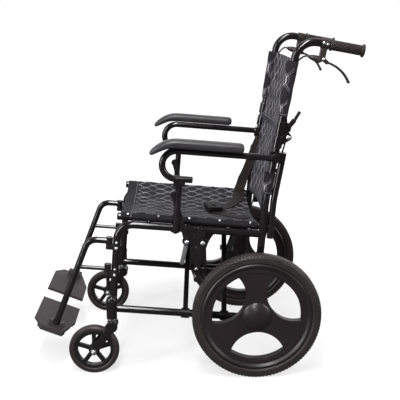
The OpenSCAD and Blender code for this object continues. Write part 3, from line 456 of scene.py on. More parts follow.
# The same cloth on the back, its ground painted a shade lighter than the seat's for the light that
# falls on the back, with a narrow hem
back_cloth = wavy_cloth("back cloth", "#18161c", "#26232a", step_mm=44, swing_mm=11, length_mm=46,
                        line_mm=1.6, wide_mm=436, plain_mm=4, hem_mm=16)
# The sleeves show only a few long waves, and plain cloth at the seam
sleeve_cloth = wavy_cloth("sleeve cloth", "#121015", "#1e1b21", step_mm=46, swing_mm=13, length_mm=92,
                          line_mm=0.95, wide_mm=86, plain_mm=20, hem_mm=10)
print("cloths:", seat_cloth.name, back_cloth.name, sleeve_cloth.name)

# %% [markdown]
# Belt webbing is woven polyester, dull and brown-black. Its ribs run along the strap, 2 mm apart.
# They could be modelled as grooves, but a sine wave on the strap's own map is as good at this size.

# %% Belt webbing
RIB = 0.002
belt_webbing, tree = new_finish("belt webbing")
place = add(tree, "UVMap")
split = add(tree, "SeparateXYZ", {0: place.outputs[0]})
rib = add(tree, "Math", {0: split.outputs[0], 1: 2 * math.pi / RIB}, operation="MULTIPLY")
wave = add(tree, "Math", {0: rib.outputs[0]}, operation="SINE")
patch = add(tree, "TexNoise", {"Vector": place.outputs[0], "Scale": WEAR_PER_METRE, "Detail": 3.0})
shade = add(tree, "Mix", {0: patch.outputs[0], 6: linear("#1a1615"), 7: linear("#262020")},
            data_type="RGBA")
relief = add(tree, "Bump", {"Height": wave.outputs[0], "Strength": 0.4, "Distance": 0.0005})
skin = add(tree, "BsdfPrincipled", {"Base Color": shade.outputs[2], "Roughness": 0.6,
                                    "Normal": relief.outputs[0], "Specular IOR Level": 0.15})
add(tree, "OutputMaterial", {"Surface": skin.outputs[0]})
print(belt_webbing.name, "nodes:", len(tree.nodes))

# %% [markdown]
# The pieces below are all made in the same few steps, so those steps are named once here: go into
# edit mode and out again, clear the selection, apply a modifier, raise a face, join, and settle a
# finished piece at the origin with its finish. Operators act on all that is selected, so every new
# piece starts from a clear selection.


# %% Helpers for pieces
def edit():
    bpy.ops.object.mode_set(mode="EDIT")


def leave_edit():
    bpy.ops.object.mode_set(mode="OBJECT")


def deselect():
    if bpy.context.object and bpy.context.object.mode != "OBJECT":
        leave_edit()
    bpy.ops.object.select_all(action="DESELECT")


def only(obj):
    deselect()
    obj.select_set(True)
    bpy.context.view_layer.objects.active = obj


def use(obj, kind, **settings):
    """Adds a modifier and applies it."""
    only(obj)
    modifier = obj.modifiers.new(kind, kind)
    for name, value in settings.items():
        setattr(modifier, name, value)
    bpy.ops.object.modifier_apply(modifier=modifier.name)


def settle(obj, name, finish, body=None):
    """Puts the piece's place into its mesh, names it, gives it a finish and a body."""
    only(obj)
    bpy.ops.object.transform_apply(location=True, rotation=True, scale=True)
    obj.name = name
    obj.data.name = name
    obj.data.materials.clear()
    obj.data.materials.append(finish)
    if body:
        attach(obj, body)
    return obj


def inset_and_raise(steps):
    """Insets the selected faces and raises them along Z, step by step."""
    for inset, rise in steps:
        bpy.ops.mesh.inset(thickness=inset)
        bpy.ops.transform.translate(value=(0, 0, rise))


def join(first, *others):
    deselect()
    for obj in (first,) + others:
        obj.select_set(True)
    bpy.context.view_layer.objects.active = first
    if others:
        bpy.ops.object.join()
    return first


print("meshes before the new pieces:", len(bpy.data.meshes))

# %% [markdown]
# Every cloth piece and strap is a flat grid that is bent into place, with a thickness added last.
# A cloth simulation could hang it. But these slings are stretched between tubes and have no free
# folds, so their curves can be written down, and they come out the same each time. The grid's map
# is scaled to metres, for the weave.


# %% Helpers for cloth
def sheet_of(columns, rows, size, place, thick):
    """A grid bent to a place function of two shares, with a map in metres, made into cloth."""
    deselect()
    bpy.ops.mesh.primitive_grid_add(x_subdivisions=columns, y_subdivisions=rows, size=1)
    obj = bpy.context.object
    for vertex in obj.data.vertices:
        vertex.co = place(vertex.co.x + 0.5, vertex.co.y + 0.5)
    for corner in obj.data.uv_layers[0].data:
        corner.uv = (corner.uv[0] * size[0], corner.uv[1] * size[1])
    use(obj, "SOLIDIFY", thickness=thick / 1000, offset=0.0)
    only(obj)
    bpy.ops.object.shade_smooth_by_angle(angle=math.radians(50))
    return obj


def walk(points):
    """Lengths along a chain of points."""
    far = [0.0]
    for a, b in zip(points, points[1:]):
        far.append(far[-1] + math.dist(a, b))
    return far


def at_share(points, far, share):
    """The place at a share of a chain's length."""
    goal = share * far[-1]
    for i in range(len(points) - 1):
        if goal <= far[i + 1] or i == len(points) - 2:
            t = (goal - far[i]) / (far[i + 1] - far[i])
            return tuple(p + (q - p) * t for p, q in zip(points[i], points[i + 1]))


def swell(far, place, reach):
    """A smooth rise that is 1 at a place and fades away over a reach."""
    return math.exp(-((far - place) / reach) ** 2)


def ripples(along, across, waves):
    """Small waves of taut cloth; each has a height, and a length along and across."""
    return sum(high * math.sin(along / long + across / wide) for high, long, wide in waves)


print("a swell one reach away:", round(swell(1, 0, 1), 3))

# %% [markdown]
# The seat is one sheet of cloth riveted along the two seat rails. It lies over the top of each
# rail, pulls a little at every rivet and sags between the rails. Its section across is a chain of
# points, so that the cloth keeps its real length as it goes over the rails.

# %% Section of the seat
CLOTH_OFF = 1.6
WRAP_R = TUBE_R + CLOTH_OFF
SEAT_EDGE_W = RAIL_W + WRAP_R
SEAT_SAG = 22.0
WRAP_FROM, WRAP_STEPS, SAG_STEPS = 8, 8, 40


def seat_section():
    """Points across the seat, from over the left rail to over the right rail."""
    half = []
    for step in range(WRAP_STEPS + 1):
        turn = math.radians(WRAP_FROM + step * (90 - WRAP_FROM) / WRAP_STEPS)
        half.append((RAIL_X + WRAP_R * math.cos(turn), RAIL_W + WRAP_R * math.sin(turn)))
    for step in range(1, SAG_STEPS + 1):
        x = RAIL_X * (1 - step / SAG_STEPS)
        half.append((x, SEAT_EDGE_W - SEAT_SAG * (1 - (x / RAIL_X) ** 2)))
    return half + [(-x, w) for x, w in reversed(half[:-1])]


SECTION = seat_section()
SECTION_FAR = walk(SECTION)
print("way across the seat, mm:", round(SECTION_FAR[-1], 1))

# %% [markdown]
# The section runs from the front edge to the back. The front edge is a wide hem, which bulges a
# little ahead of its sewn groove, and between the rivets the cloth lifts off the rails.

# %% Seat cloth
SEAT_FRONT, SEAT_BACK = -419.0, -18.0
SEAT_THICK = 2.2
RIVET_FIRST, RIVET_PITCH, RIVET_COUNT = -398.0, 90, 5
RIVETS = [RIVET_FIRST + RIVET_PITCH * i for i in range(RIVET_COUNT)]
RIVET_PULL, PULL_REACH = 2.6, 34
SEAT_RIPPLES = ((1.4, 17, 60), (1.1, 31, -23))
# Height, place behind the front edge, and reach of the hem's bulge and groove
HEM_SHAPE = ((2.0, 24, 14), (-2.4, 52, 4))


def seat_place(a, b):
    x, w = at_share(SECTION, SECTION_FAR, a)
    u = SEAT_FRONT + (SEAT_BACK - SEAT_FRONT) * b
    inner = max(0.0, 1 - (x / RAIL_X) ** 2)
    if abs(x) < RAIL_X:
        free = 0.5 - 0.5 * math.cos(2 * math.pi * (u - RIVET_FIRST) / RIVET_PITCH)
        w += RIVET_PULL * free * swell(RAIL_X - abs(x), 0, PULL_REACH)
    w += inner * ripples(u, x, SEAT_RIPPLES)
    w += inner ** 0.3 * sum(high * swell(u - SEAT_FRONT, at, reach) for high, at, reach in HEM_SHAPE)
    return raked(x, u, w)


seat_size = (SECTION_FAR[-1] / 1000, (SEAT_BACK - SEAT_FRONT) / 1000)
seat = settle(sheet_of(110, 120, seat_size, seat_place, SEAT_THICK), "seat_cloth", seat_cloth)
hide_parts("left_seat_sling", "right_seat_sling")
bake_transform(seat)
print("seat cloth:", seat_size)

# %% [markdown]
# The back is two panels that meet at the folding hinge, where the upper one hangs over the lower
# one's edge in a loose flap. Each has sewn sleeves that slide over the tubes. A panel and its
# sleeves could be one sheet, but the tubes move apart from the panel when the frame folds, so they
# are pieces of their own. The panels bow to the rear, pucker along the sleeves and have a sewn
# groove along their rims.

# %% Shapes of the back cloth
BACK_SAG = 18.0
PANEL_THICK, SLEEVE_THICK = 2.4, 1.6
BACK_RIPPLES = ((1.6, 21, 45), (1.2, 37, -30))
PUCKER, PUCKER_LONG, PUCKER_REACH = 1.5, 11, 24
GROOVE, GROOVE_IN, GROOVE_REACH = 1.2, 16, 3
FLAP_REACH = 14
SLEEVE_SLACK, SLEEVE_EASE = 7.0, 1.0
CREASE, CREASE_LONG, RING, RING_LONG = 0.35, 9, 0.3, 14
SLEEVE_ROUND = 2 * math.pi * (WRAP_R + SLEEVE_EASE)


def back_panel(name, body, low, high, half, rows, ahead):
    """The panel between the tubes; its lowest edge may stand ahead of the cloth below it."""
    def place(a, b):
        x = half * (1 - 2 * a)
        s = low + (high - low) * b
        inner = 1 - (x / SIDE_X) ** 2
        v = BACK_SAG * inner + inner * ripples(s, x, BACK_RIPPLES)
        v += PUCKER * swell(half - abs(x), 0, PUCKER_REACH) * math.sin(s / PUCKER_LONG)
        v -= GROOVE * swell(min(s - low, high - s), GROOVE_IN, GROOVE_REACH) * inner
        v -= ahead * swell(s, low, FLAP_REACH)
        return leaning(x, v, s)

    size = (2 * half / 1000, (high - low) / 1000)
    return settle(sheet_of(96, rows, size, place, PANEL_THICK), name, back_cloth, body)


def back_sleeve(name, body, sign, low, high):
    """A sewn sleeve round the back tube, a little slack in front."""
    def place(a, b):
        turn = 2 * math.pi * a
        s = low + (high - low) * b
        front = max(0.0, -math.cos(turn))
        slack = SLEEVE_SLACK * front ** 2 * b ** 0.6
        r = WRAP_R + slack + CREASE * math.sin(3 * turn + s / CREASE_LONG)
        r += RING * math.sin(s / RING_LONG)
        return leaning(sign * SIDE_X + r * math.sin(turn), r * math.cos(turn), s)

    size = (SLEEVE_ROUND / 1000, (high - low) / 1000)
    return settle(sheet_of(28, 40, size, place, SLEEVE_THICK), name, sleeve_cloth, body)


print("way round a sleeve, mm:", round(SLEEVE_ROUND, 1))

# %% [markdown]
# Both panels ride with the left side. Real cloth would hang in folds there.

# %% Back cloth
# Low and high edge, half width, rows, how far the low edge stands ahead; the sleeves' two ends
PANELS = (
    ("back_cloth_upper", "back", "back_sling_upper", (177, 396, 218, 64, 5.0), (239, 396)),
    ("back_cloth_lower", "frame", "back_sling_lower", (-78, 181, 213, 76, 0.0), (8, 72)),
)
for name, body, solid, shape, (sleeve_low, sleeve_high) in PANELS:
    panel = back_panel(name, "left_" + body, *shape)
    low, high, half = shape[:3]
    wide, tall = 2 * half, high - low
    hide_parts(solid)
    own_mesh(panel)
    print(name, "flat width and height, mm:", wide, tall)
    for side, sign in SIDES:
        sleeve_name = side + name.replace("back_cloth", "_back_sleeve")
        sleeve = back_sleeve(sleeve_name, side + "_" + body, sign, sleeve_low, sleeve_high)

# %% [markdown]
# The arm pads are moulded foam with a closed skin. A bevel would round their edges evenly, but a
# mould rounds the outer corners more than the hollows. So each pad starts as a copy of its plain
# solid, is remeshed into even little faces and relaxed, and one subdivision smooths the result.

# %% Arm pads
PAD_VOXEL, PAD_RELAX = 0.003, 16
for side, _ in SIDES:
    source = nodes[side + "_armrest_pad"]
    deselect()
    pad = source.copy()
    pad.data = source.data.copy()
    pad.parent = None
    for key in list(pad.keys()):
        del pad[key]
    bpy.context.collection.objects.link(pad)
    only(pad)
    edit()
    bpy.ops.mesh.select_all(action="SELECT")
    bpy.ops.mesh.remove_doubles(threshold=0.00005)
    leave_edit()
    use(pad, "REMESH", mode="VOXEL", voxel_size=PAD_VOXEL)
    use(pad, "SMOOTH", factor=0.5, iterations=PAD_RELAX)
    use(pad, "SUBSURF", levels=1, render_levels=1)
    only(pad)
    bpy.ops.object.shade_smooth()
    settle(pad, side + "_foam_pad", pad_foam, side + "_armrest")
    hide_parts(side + "_armrest_pad")
    print(pad.name, len(pad.data.polygons))

# %% [markdown]
# The lap belt is flat webbing. One strap comes down from the right back tube onto the seat, a
# second goes on from there across the seat to a plastic buckle, and a third leads from the buckle
# to the left rear. A remesh or a simulation would erase anything so thin, so a strap is a grid led
# along a chain of points, with a direction at each point for its width.

# %% Helpers for the belt
STRAP_W, STRAP_THICK = 38.0, 1.6
# How far a strap lies above the middle of the seat cloth
STRAP_OFF = 4.5


def strap(points, across, name, body, taper=0.0):
    """A flat strap along points, its width given by one direction at each point."""
    far = walk(points)

    def place(a, b):
        x, u, w = at_share(points, far, b)
        dx, du, dw = at_share(across, far, b)
        side = (a - 0.5) * STRAP_W * (1 - taper * b)
        return raked(x + dx * side, u + du * side, w + dw * side)

    cut = (STRAP_W / 1000, far[-1] / 1000)
    obj = settle(sheet_of(10, 60, cut, place, STRAP_THICK), name, belt_webbing, body)
    print(name, "width and length, mm:", round(STRAP_W), round(far[-1]))
    return obj


def smooth(points, steps):
    """Points on a curve through all the given ones."""
    chain = [points[0] * 2 - points[1]] + points + [points[-1] * 2 - points[-2]]
    made = []
    for a, b, c, d in zip(chain, chain[1:], chain[2:], chain[3:]):
        for step in range(steps):
            t = step / steps
            made.append(0.5 * (2 * b + (c - a) * t + (2 * a - 5 * b + 4 * c - d) * t ** 2
                               + (3 * b - a - 3 * c + d) * t ** 3))
    return made + [points[-1]]


def on_seat(x, u):
    """A place just above the seat cloth."""
    return x, u, SEAT_EDGE_W - SEAT_SAG * max(0, 1 - (x / RAIL_X) ** 2) + STRAP_OFF


print("strap above the middle of the seat:", on_seat(0, -200))

# %% [markdown]
# From its end on the seat the first strap turns up beside the right post and goes back to the
# tube, where it grows narrower as it is folded in. The other two lie on the seat, and the belt is
# split where it leaves the post.

# %% Belt straps
POST_STRAP_X, POST_STRAP_U, POST_STRAP_TAPER = -214.9, -40, 0.4
# Places in the raked frame, from the seat up, and then v and s on the leaning back
foot = [on_seat(x, POST_STRAP_U) for x in (-186, -196)]
foot += [(-204, -39, 266), (-210, -37, 270.5), (-213.4, -34.5, 278), (POST_STRAP_X, -32, 288)]
RISE = ((-26, -45), (-21, -25), (-17, -5), (-14, 15), (-11.5, 35), (-9, 55), (-6, 75), (-3.5, 90),
        (-2, 98))
up_points = [Vector(spot) for spot in foot + [leaning_point(POST_STRAP_X, v, s) for v, s in RISE]]
up_across = [Vector((0, -1, 0))] * len(foot)
up_across += [Vector((0, -math.cos(LEAN), math.sin(LEAN)))] * len(RISE)
upright = strap(smooth(up_points, 4), smooth(up_across, 4), "belt_upright_strap", "right_frame",
                POST_STRAP_TAPER)

# The lap strap sets out beside the foot and curves forward, turning a little at each step
LAP_X, LAP_U, LAP_STEPS, LAP_PACE, LAP_FORWARD, LAP_TURN = -184.0, -42.0, 16, 14.0, 96, 0.044
lap_points = [on_seat(LAP_X + LAP_PACE * i, LAP_U - LAP_FORWARD * (i / LAP_STEPS) ** 2)
              for i in range(LAP_STEPS + 1)]
lap_across = [(math.sin(LAP_TURN * i), math.cos(LAP_TURN * i), 0) for i in range(LAP_STEPS + 1)]
lap_strap = strap(lap_points, lap_across, "belt_lap_strap", None)

# The tail strap leads from the buckle to the left rear
BUCKLE_X, BUCKLE_U = 50.0, -140.0
TAIL_STEPS, TAIL_PACE, TAIL_BACK, TAIL_ACROSS = 9, 13.5, 92, (-0.55, 0.83, 0)
tail_points = [on_seat(BUCKLE_X + TAIL_PACE * i, BUCKLE_U + TAIL_BACK * (i / TAIL_STEPS) ** 1.2)
               for i in range(TAIL_STEPS + 1)]
tail_strap = strap(tail_points, [TAIL_ACROSS] * len(tail_points), "belt_tail_strap", None)

# %% [markdown]
# The buckle is a moulded block with a press button in the middle of its top. The block is a cube at
# its real size, cut into nine on each side. The middle face of the top is inset and sunk for the
# recess, then inset again and raised for the button, and a bevel rounds every edge.

# %% Belt buckle
BUCKLE_SIZE = (0.052, 0.046, 0.018)
BUCKLE_LIFT = 11
BUCKLE_TURN = (-RAKE, math.radians(10), math.radians(18))
BUTTON_REACH, BUTTON_STEPS = 0.005, ((0.0005, -0.003), (0.0012, 0.0045))
x, u, w = on_seat(BUCKLE_X, BUCKLE_U)
deselect()
bpy.ops.mesh.primitive_cube_add(size=1, location=raked(x, u, w + BUCKLE_LIFT))
buckle = bpy.context.object
buckle.scale = BUCKLE_SIZE
buckle.rotation_euler = BUCKLE_TURN
only(buckle)
bpy.ops.object.transform_apply(location=False, rotation=False, scale=True)
edit()
bpy.ops.mesh.select_all(action="SELECT")
bpy.ops.mesh.subdivide(number_cuts=2)
bpy.ops.mesh.select_all(action="DESELECT")
leave_edit()
for face in buckle.data.polygons:
    middle = max(abs(face.center.x), abs(face.center.y)) < BUTTON_REACH
    face.select = face.normal.z > 0.9 and middle
edit()
inset_and_raise(BUTTON_STEPS)
leave_edit()
use(buckle, "BEVEL", width=0.003, segments=3, limit_method="ANGLE")
bpy.ops.object.shade_smooth_by_angle(angle=math.radians(40))
settle(buckle, "belt_buckle", buckle_plastic)
for piece in (lap_strap, tail_strap, buckle):
    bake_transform(piece)
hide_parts("lap_belt")
print("buckle faces:", len(buckle.data.polygons))

# %% [markdown]
# A brake cable runs from each lever, down the inner side of the back tube, past the hinge and on to
# the shoe. Its casing is a smooth vinyl tube. The route is a list of points along the tubes, joined
# by a curve that passes through all of them.

# %% Routes of the brake cables
HANDLE_S, LEVER_DROP, HINGE_V, HINGE_S = 459.0, 42.0, 25.4, 183.0
CABLE_R, WIRE_R = 2.5, 0.9
TOP_S = HANDLE_S - LEVER_DROP
SHOE_U, SHOE_W = -187.2, 99.5
# The casing ends at a stop ahead of the shoe, and the bare wire goes on
STOP_X, STOP_BACK, WIRE_W = SIDE_X + TUBE_R - CABLE_R, 22, SHOE_W + 16
UPPER_ROUTE = ((230, 35, TOP_S), (229.2, 31, TOP_S - 0.3), (226, 25, TOP_S - 3),
               (222, 19, TOP_S - 9), (218, 13.4, TOP_S - 17), (215.1, 9.8, TOP_S - 26),
               (213.9, 8.4, TOP_S - 37), (213.9, 8.4, HINGE_S + 114), (213.5, 9.4, HINGE_S + 84),
               (212.9, 12.5, HINGE_S + 56), (212.7, 19, HINGE_S + 30), (213, 23.6, HINGE_S + 14),
               (213, HINGE_V, HINGE_S))
HINGE_ROUTE = ((211.5, 24, HINGE_S - 32), (211, 21, 120), (211, 20, 60), (212, 20, 0))
LOWER_ROUTE = ((213, 18, 280), (213, 12, 220), (213, 0, 182), (214, -22, 152), (222, -56, 130),
               (231, -95, 119), (237, -128, 116), (STOP_X, SHOE_U + 33, WIRE_W),
               (STOP_X, SHOE_U + STOP_BACK, WIRE_W))
print("points in a route:", len(UPPER_ROUTE + HINGE_ROUTE + LOWER_ROUTE))

# %% [markdown]
# A round profile along the curve makes the tube. The cable is one piece from end to end.
# A thin bright wire goes on from the casing's end to the shoe.

# %% Brake cables
PASS_X, PASS_REACH = 213, 14


def tube_along(points, radius, name, finish):
    """A round tube along points."""
    deselect()
    bpy.ops.curve.primitive_nurbs_path_add()
    line = bpy.context.object
    line.data.splines.clear()
    spline = line.data.splines.new("POLY")
    spline.points.add(len(points) - 1)
    for knot, point in zip(spline.points, points):
        knot.co = (*point, 1)
    line.data.dimensions = "3D"
    line.data.bevel_depth = radius / 1000
    line.data.bevel_resolution = 4
    line.data.use_fill_caps = True
    line.location = (0, 0, 0)
    only(line)
    bpy.ops.object.convert(target="MESH")
    bpy.ops.object.shade_smooth_by_angle(angle=math.radians(50))
    return settle(bpy.context.object, name, finish)


for side, sign in SIDES:
    route = [leaning(sign * x, v, s) for x, v, s in UPPER_ROUTE + HINGE_ROUTE]
    route += [raked(sign * x, u, w) for x, u, w in LOWER_ROUTE]
    line = smooth(route, 6)
    length = sum((b - a).length for a, b in zip(line, line[1:]))
    cable = tube_along(line, CABLE_R, side + "_brake_cable", casing)
    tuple(line[0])
    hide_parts(side + "_cable_upper", side + "_cable_lower")
    leaning(sign * PASS_X, HINGE_V, HINGE_S + PASS_REACH)
    leaning(sign * PASS_X, HINGE_V, HINGE_S - PASS_REACH)
    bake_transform(cable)
    bare = [raked(sign * STOP_X, SHOE_U + u, WIRE_W) for u in range(STOP_BACK, -1, -2)]
    wire = tube_along(bare, WIRE_R, side + "_brake_wire", plated)
    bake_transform(wire)
    print(cable.name, "length:", round(length, 3))

# %% [markdown]
# Bolt heads, rivets and tube plugs are all low domes. A flattened sphere has no rim, which is what
# catches the light. So a cylinder's top is inset and raised in two steps, and a bevel rounds it.
# One model of each kind is copied to every place, with its own mesh, and scaled to its radius.


# %% Helpers for domed heads
def domed(name, finish, sides, tall, steps, round_off):
    """A dome of radius 1 on a short cylinder; each step insets the top and raises it."""
    deselect()
    bpy.ops.mesh.primitive_cylinder_add(vertices=sides, radius=1.0, depth=tall,
                                        location=(0, 0, tall / 2))
    model = bpy.context.object
    edit()
    bpy.ops.mesh.select_mode(type="FACE")
    bpy.ops.mesh.select_all(action="DESELECT")
    leave_edit()
    for face in model.data.polygons:
        face.select = face.normal.z > 0.9
    edit()
    inset_and_raise(steps)
    leave_edit()
    use(model, "BEVEL", width=round_off, segments=2, limit_method="ANGLE")
    bpy.ops.object.shade_smooth_by_angle(angle=math.radians(45))
    return settle(model, name, finish)


def copies(model, name, body, spots):
    """Copies of a model as one piece; a spot is a place, a facing and a radius in millimetres."""
    made = []
    for place, facing, radius in spots:
        copy = model.copy()
        copy.data = model.data.copy()
        bpy.context.collection.objects.link(copy)
        turn = Vector(facing).to_track_quat("Z", "Y").to_matrix().to_4x4()
        copy.data.transform(Matrix.Translation(place) @ turn @ Matrix.Scale(radius / 1000, 4))
        made.append(copy)
    group = settle(join(*made), name, model.data.materials[0], body)
    print(name, "domes:", len(spots))


head = domed("head", plated, 24, 0.8, ((0.35, 0.28), (0.35, 0.08)), 0.12)
print("faces of one head:", len(head.data.polygons))

# %% [markdown]
# Bright heads mark the joints of the chair: the footrest clamps on the front posts, the pivots of
# the parking brake and of the folding back, the brake shoes, the caster axles, the hand brakes and
# the row of rivets that holds the seat. Each group rides on the body that it is screwed into.

# %% Bolt heads
HEAD_R = {"ring": 4.4, "post": 4.0, "pivot": 6.6, "shoe": 4.4, "caster": 5.2, "perch": 3.4,
          "lever": 4.2, "rivet": 3.4}
POST_U, RING_WALL = -425, 3.2
RING_WS, POST_WS = (77, 159), (93, 175)
PARK_U, PARK_W, SHOE_PIVOT_U, PLATE_X = -221.0, 196.5, -174.0, 254.0
SHOE_X = 253
EAR_OUT, PERCH_OUT, LEVER_OUT = 12.8, 14.2, 10.3
# The caster's upright axis, in millimetres in the scene, and the wheel that trails behind it
SWIVEL_X, SWIVEL_Y = SIDE_X + TUBE_R + 15.9, raked(0, POST_U, -32).y * 1000 - 1
CASTER_R, CASTER_TRAIL, CASTER_END = 75.0, 55.0, 27.6
RIVET_TURN, RIVET_OFF = math.radians(48), 0.9
RAKE_TURN = Matrix.Rotation(-RAKE, 3, "X")
RAIL_BODY = {"left": "brace_b", "right": "brace_a"}
for side, sign in SIDES:
    out = (sign, 0, 0)
    post_x = SIDE_X + TUBE_R
    spots = [(raked(sign * (post_x + RING_WALL), POST_U, w), out, HEAD_R["ring"]) for w in RING_WS]
    spots += [(raked(sign * post_x, POST_U, w), out, HEAD_R["post"]) for w in POST_WS]
    spots += [(raked(sign * PLATE_X, u, PARK_W), out, HEAD_R["pivot"])
              for u in (PARK_U, SHOE_PIVOT_U)]
    spots += [(leaning(sign * (SIDE_X + EAR_OUT), HINGE_V, HINGE_S), out, HEAD_R["pivot"])]
    copies(head, side + "_frame_bolts", side + "_frame", spots)

    spots = [(raked(sign * SHOE_X, SHOE_U, WIRE_W), out, HEAD_R["shoe"])]
    copies(head, side + "_shoe_bolt", side + "_shoe_arm", spots)

    spots = []
    for way in (1, -1):
        end = Vector((sign * (SWIVEL_X + way * CASTER_END), SWIVEL_Y - CASTER_TRAIL, CASTER_R)) / 1000
        spots.append((end, (way * sign, 0, 0), HEAD_R["caster"]))
    copies(head, side + "_caster_bolts", side + "_caster", spots)

    spots = [(leaning(sign * (SIDE_X + PERCH_OUT), v, HANDLE_S + s), out, HEAD_R["perch"])
             for v, s in ((70, 2), (81, 0))]
    spots += [(leaning(sign * (SIDE_X + LEVER_OUT), 78, TOP_S), out, HEAD_R["lever"])]
    copies(head, side + "_perch_bolts", side + "_back", spots)

    facing = RAKE_TURN @ Vector((sign * math.cos(RIVET_TURN), 0, math.sin(RIVET_TURN)))
    off = WRAP_R + RIVET_OFF
    rivet_x, rivet_w = RAIL_X + off * math.cos(RIVET_TURN), RAIL_W + off * math.sin(RIVET_TURN)
    spots = [(raked(sign * rivet_x, u, rivet_w), facing, HEAD_R["rivet"]) for u in RIVETS]
    copies(head, side + "_seat_rivets", RAIL_BODY[side], spots)
bpy.data.objects.remove(head)

# %% [markdown]
# Below its pivot each parking lever ends in a short tail of grey strip steel. It could be cut from
# a flat outline. A cube stretched to the strip's size is quicker: a wide bevel rounds its lower
# corners, and a narrow one breaks the remaining edges.

# %% Parking lever tails
LEVER_X = 248.1
TAIL_SIZE = (0.003, 0.013, 0.066)
TAIL_LEAN, TAIL_DROP = math.radians(12), 0.039
tail_down = Vector((0, -math.sin(TAIL_LEAN), -math.cos(TAIL_LEAN)))
for side, sign in SIDES:
    deselect()
    bpy.ops.mesh.primitive_cube_add(size=1)
    tail = bpy.context.object
    tail.scale = TAIL_SIZE
    only(tail)
    bpy.ops.object.transform_apply(location=False, rotation=False, scale=True)
    edit()
    bpy.ops.mesh.select_mode(type="EDGE")
    bpy.ops.mesh.select_all(action="DESELECT")
    leave_edit()
    for edge in tail.data.edges:
        a, b = (tail.data.vertices[v].co for v in edge.vertices)
        edge.select = a.z < 0 and b.z < 0 and abs(a.y - b.y) < 1e-6
    edit()
    bpy.ops.mesh.bevel(offset=0.006, segments=6)
    bpy.ops.mesh.select_mode(type="FACE")
    leave_edit()
    use(tail, "BEVEL", width=0.0005, segments=2, limit_method="ANGLE")
    bpy.ops.object.shade_smooth_by_angle(angle=math.radians(40))
    tail.rotation_euler = (-TAIL_LEAN, 0, 0)
    tail.location = raked(sign * LEVER_X, PARK_U, PARK_W) + TAIL_DROP * tail_down
    settle(tail, side + "_lever_tail", grey_steel, side + "_park_lever")
    print(tail.name, [round(c, 4) for c in tail.dimensions])

# %% [markdown]
# A bright bearing cup shows between each caster fork and its head tube. It is a short ring. The end
# faces of a cylinder are inset and bridged, which opens the hole through it, and a bevel rounds the
# edges. Cutting the hole with a second cylinder would leave worse faces.

# %% Caster bearing cups
CUP_R, CUP_TALL, CUP_WALL, CUP_Z = 0.0142, 0.0042, 0.0026, 0.1696
for side, sign in SIDES:
    deselect()
    bpy.ops.mesh.primitive_cylinder_add(vertices=48, radius=CUP_R, depth=CUP_TALL,
                                        location=(sign * SWIVEL_X / 1000, SWIVEL_Y / 1000, CUP_Z))
    cup = bpy.context.object
    for face in cup.data.polygons:
        face.select = abs(face.normal.z) > 0.9
    edit()
    bpy.ops.mesh.inset(thickness=CUP_WALL)
    bpy.ops.mesh.bridge_edge_loops()
    bpy.ops.mesh.select_all(action="SELECT")
    bpy.ops.mesh.normals_make_consistent(inside=False)
    leave_edit()
    use(cup, "BEVEL", width=0.001, segments=3, limit_method="ANGLE")
    bpy.ops.object.shade_smooth_by_angle(angle=math.radians(50))
    settle(cup, side + "_bearing_cup", plated, side + "_frame")
    print(cup.name, [round(c, 4) for c in cup.dimensions])

# %% [markdown]
# Open tube ends are closed with pressed-in plastic plugs, each a low dome with a rim. One plug is
# made as the bolt heads were, only flatter, and copied to the ends of the seat rails, the armrest
# stubs and the stays behind the back posts.

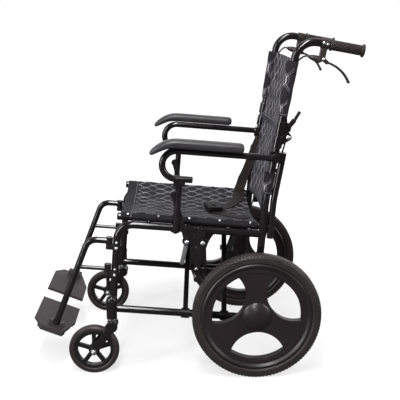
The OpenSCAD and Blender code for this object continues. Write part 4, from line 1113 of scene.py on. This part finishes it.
# %% Tube plugs
RAIL_FRONT_U, RAIL_BACK_U = -425, -14
FRONT_PLUG_R, BACK_PLUG_R = 11.6, 10.8
STUB_X, STUB_U, STUB_W = 262, -222.2, 383.9
STAY_BACK, STAY_TOP_S, STAY_FOOT_W = 23.5, 104, 222.5
SMALL_PLUG_R = 9.7
AHEAD, BEHIND, UP = (RAKE_TURN @ Vector(d) for d in ((0, -1, 0), (0, 1, 0), (0, 0, 1)))
STAY_UP = Matrix.Rotation(-RAKE - LEAN, 3, "X") @ Vector((0, 0, 1))
plug = domed("plug", black_nylon, 32, 0.2, ((0.18, 0.12), (0.4, 0.08)), 0.06)
for side, sign in SIDES:
    spots = [(raked(sign * RAIL_X, RAIL_FRONT_U, RAIL_W), AHEAD, FRONT_PLUG_R),
             (raked(sign * RAIL_X, RAIL_BACK_U, RAIL_W), BEHIND, BACK_PLUG_R)]
    copies(plug, side + "_rail_plugs", RAIL_BODY[side], spots)

    spots = [(raked(sign * STUB_X, STUB_U, STUB_W), BEHIND, SMALL_PLUG_R)]
    copies(plug, side + "_armrest_plug", side + "_armrest", spots)

    spots = [(leaning(sign * SIDE_X, STAY_BACK, STAY_TOP_S), STAY_UP, SMALL_PLUG_R),
             (raked(sign * SIDE_X, STAY_BACK, STAY_FOOT_W), -UP, SMALL_PLUG_R)]
    copies(plug, side + "_stay_plugs", side + "_frame", spots)
bpy.data.objects.remove(plug)

# %% [markdown]
# The rear tyres have a row of small blocks along each shoulder. An array round an empty object
# would do it too, but a spin with copies needs no helper object: one bevelled cube is carried round
# the axle. A block has few faces, because there are over four hundred of them.

# %% Tyre tread
TYRE_X, ROW_OUT, TREAD_R = 295, 15.2, 0.1855
LUGS, LUG_SIZE = 110, (0.0072, 0.0062, 0.0045)


def tread_row(x):
    """One ring of blocks, x millimetres to the left of the chair's middle."""
    deselect()
    bpy.ops.mesh.primitive_cube_add(size=1, location=(x / 1000, AXLE.y, AXLE.z + TREAD_R))
    lug = bpy.context.object
    lug.scale = LUG_SIZE
    bpy.ops.object.transform_apply(location=True, rotation=True, scale=True)
    use(lug, "BEVEL", width=0.0009, segments=1)
    edit()
    bpy.ops.mesh.select_all(action="SELECT")
    bpy.ops.mesh.spin(steps=LUGS, dupli=True, angle=2 * math.pi,
                      center=(x / 1000, AXLE.y, AXLE.z), axis=(1, 0, 0))
    bpy.ops.mesh.select_all(action="SELECT")
    bpy.ops.mesh.remove_doubles(threshold=0.00002)
    bpy.ops.mesh.normals_make_consistent(inside=False)
    leave_edit()
    return lug


for side, sign in SIDES:
    tread = join(tread_row(sign * (TYRE_X + ROW_OUT)), tread_row(sign * (TYRE_X - ROW_OUT)))
    settle(tread, side + "_tyre_tread", tyre_rubber, side + "_wheel")
    print(tread.name, len(tread.data.polygons), [round(c, 4) for c in tread.dimensions])
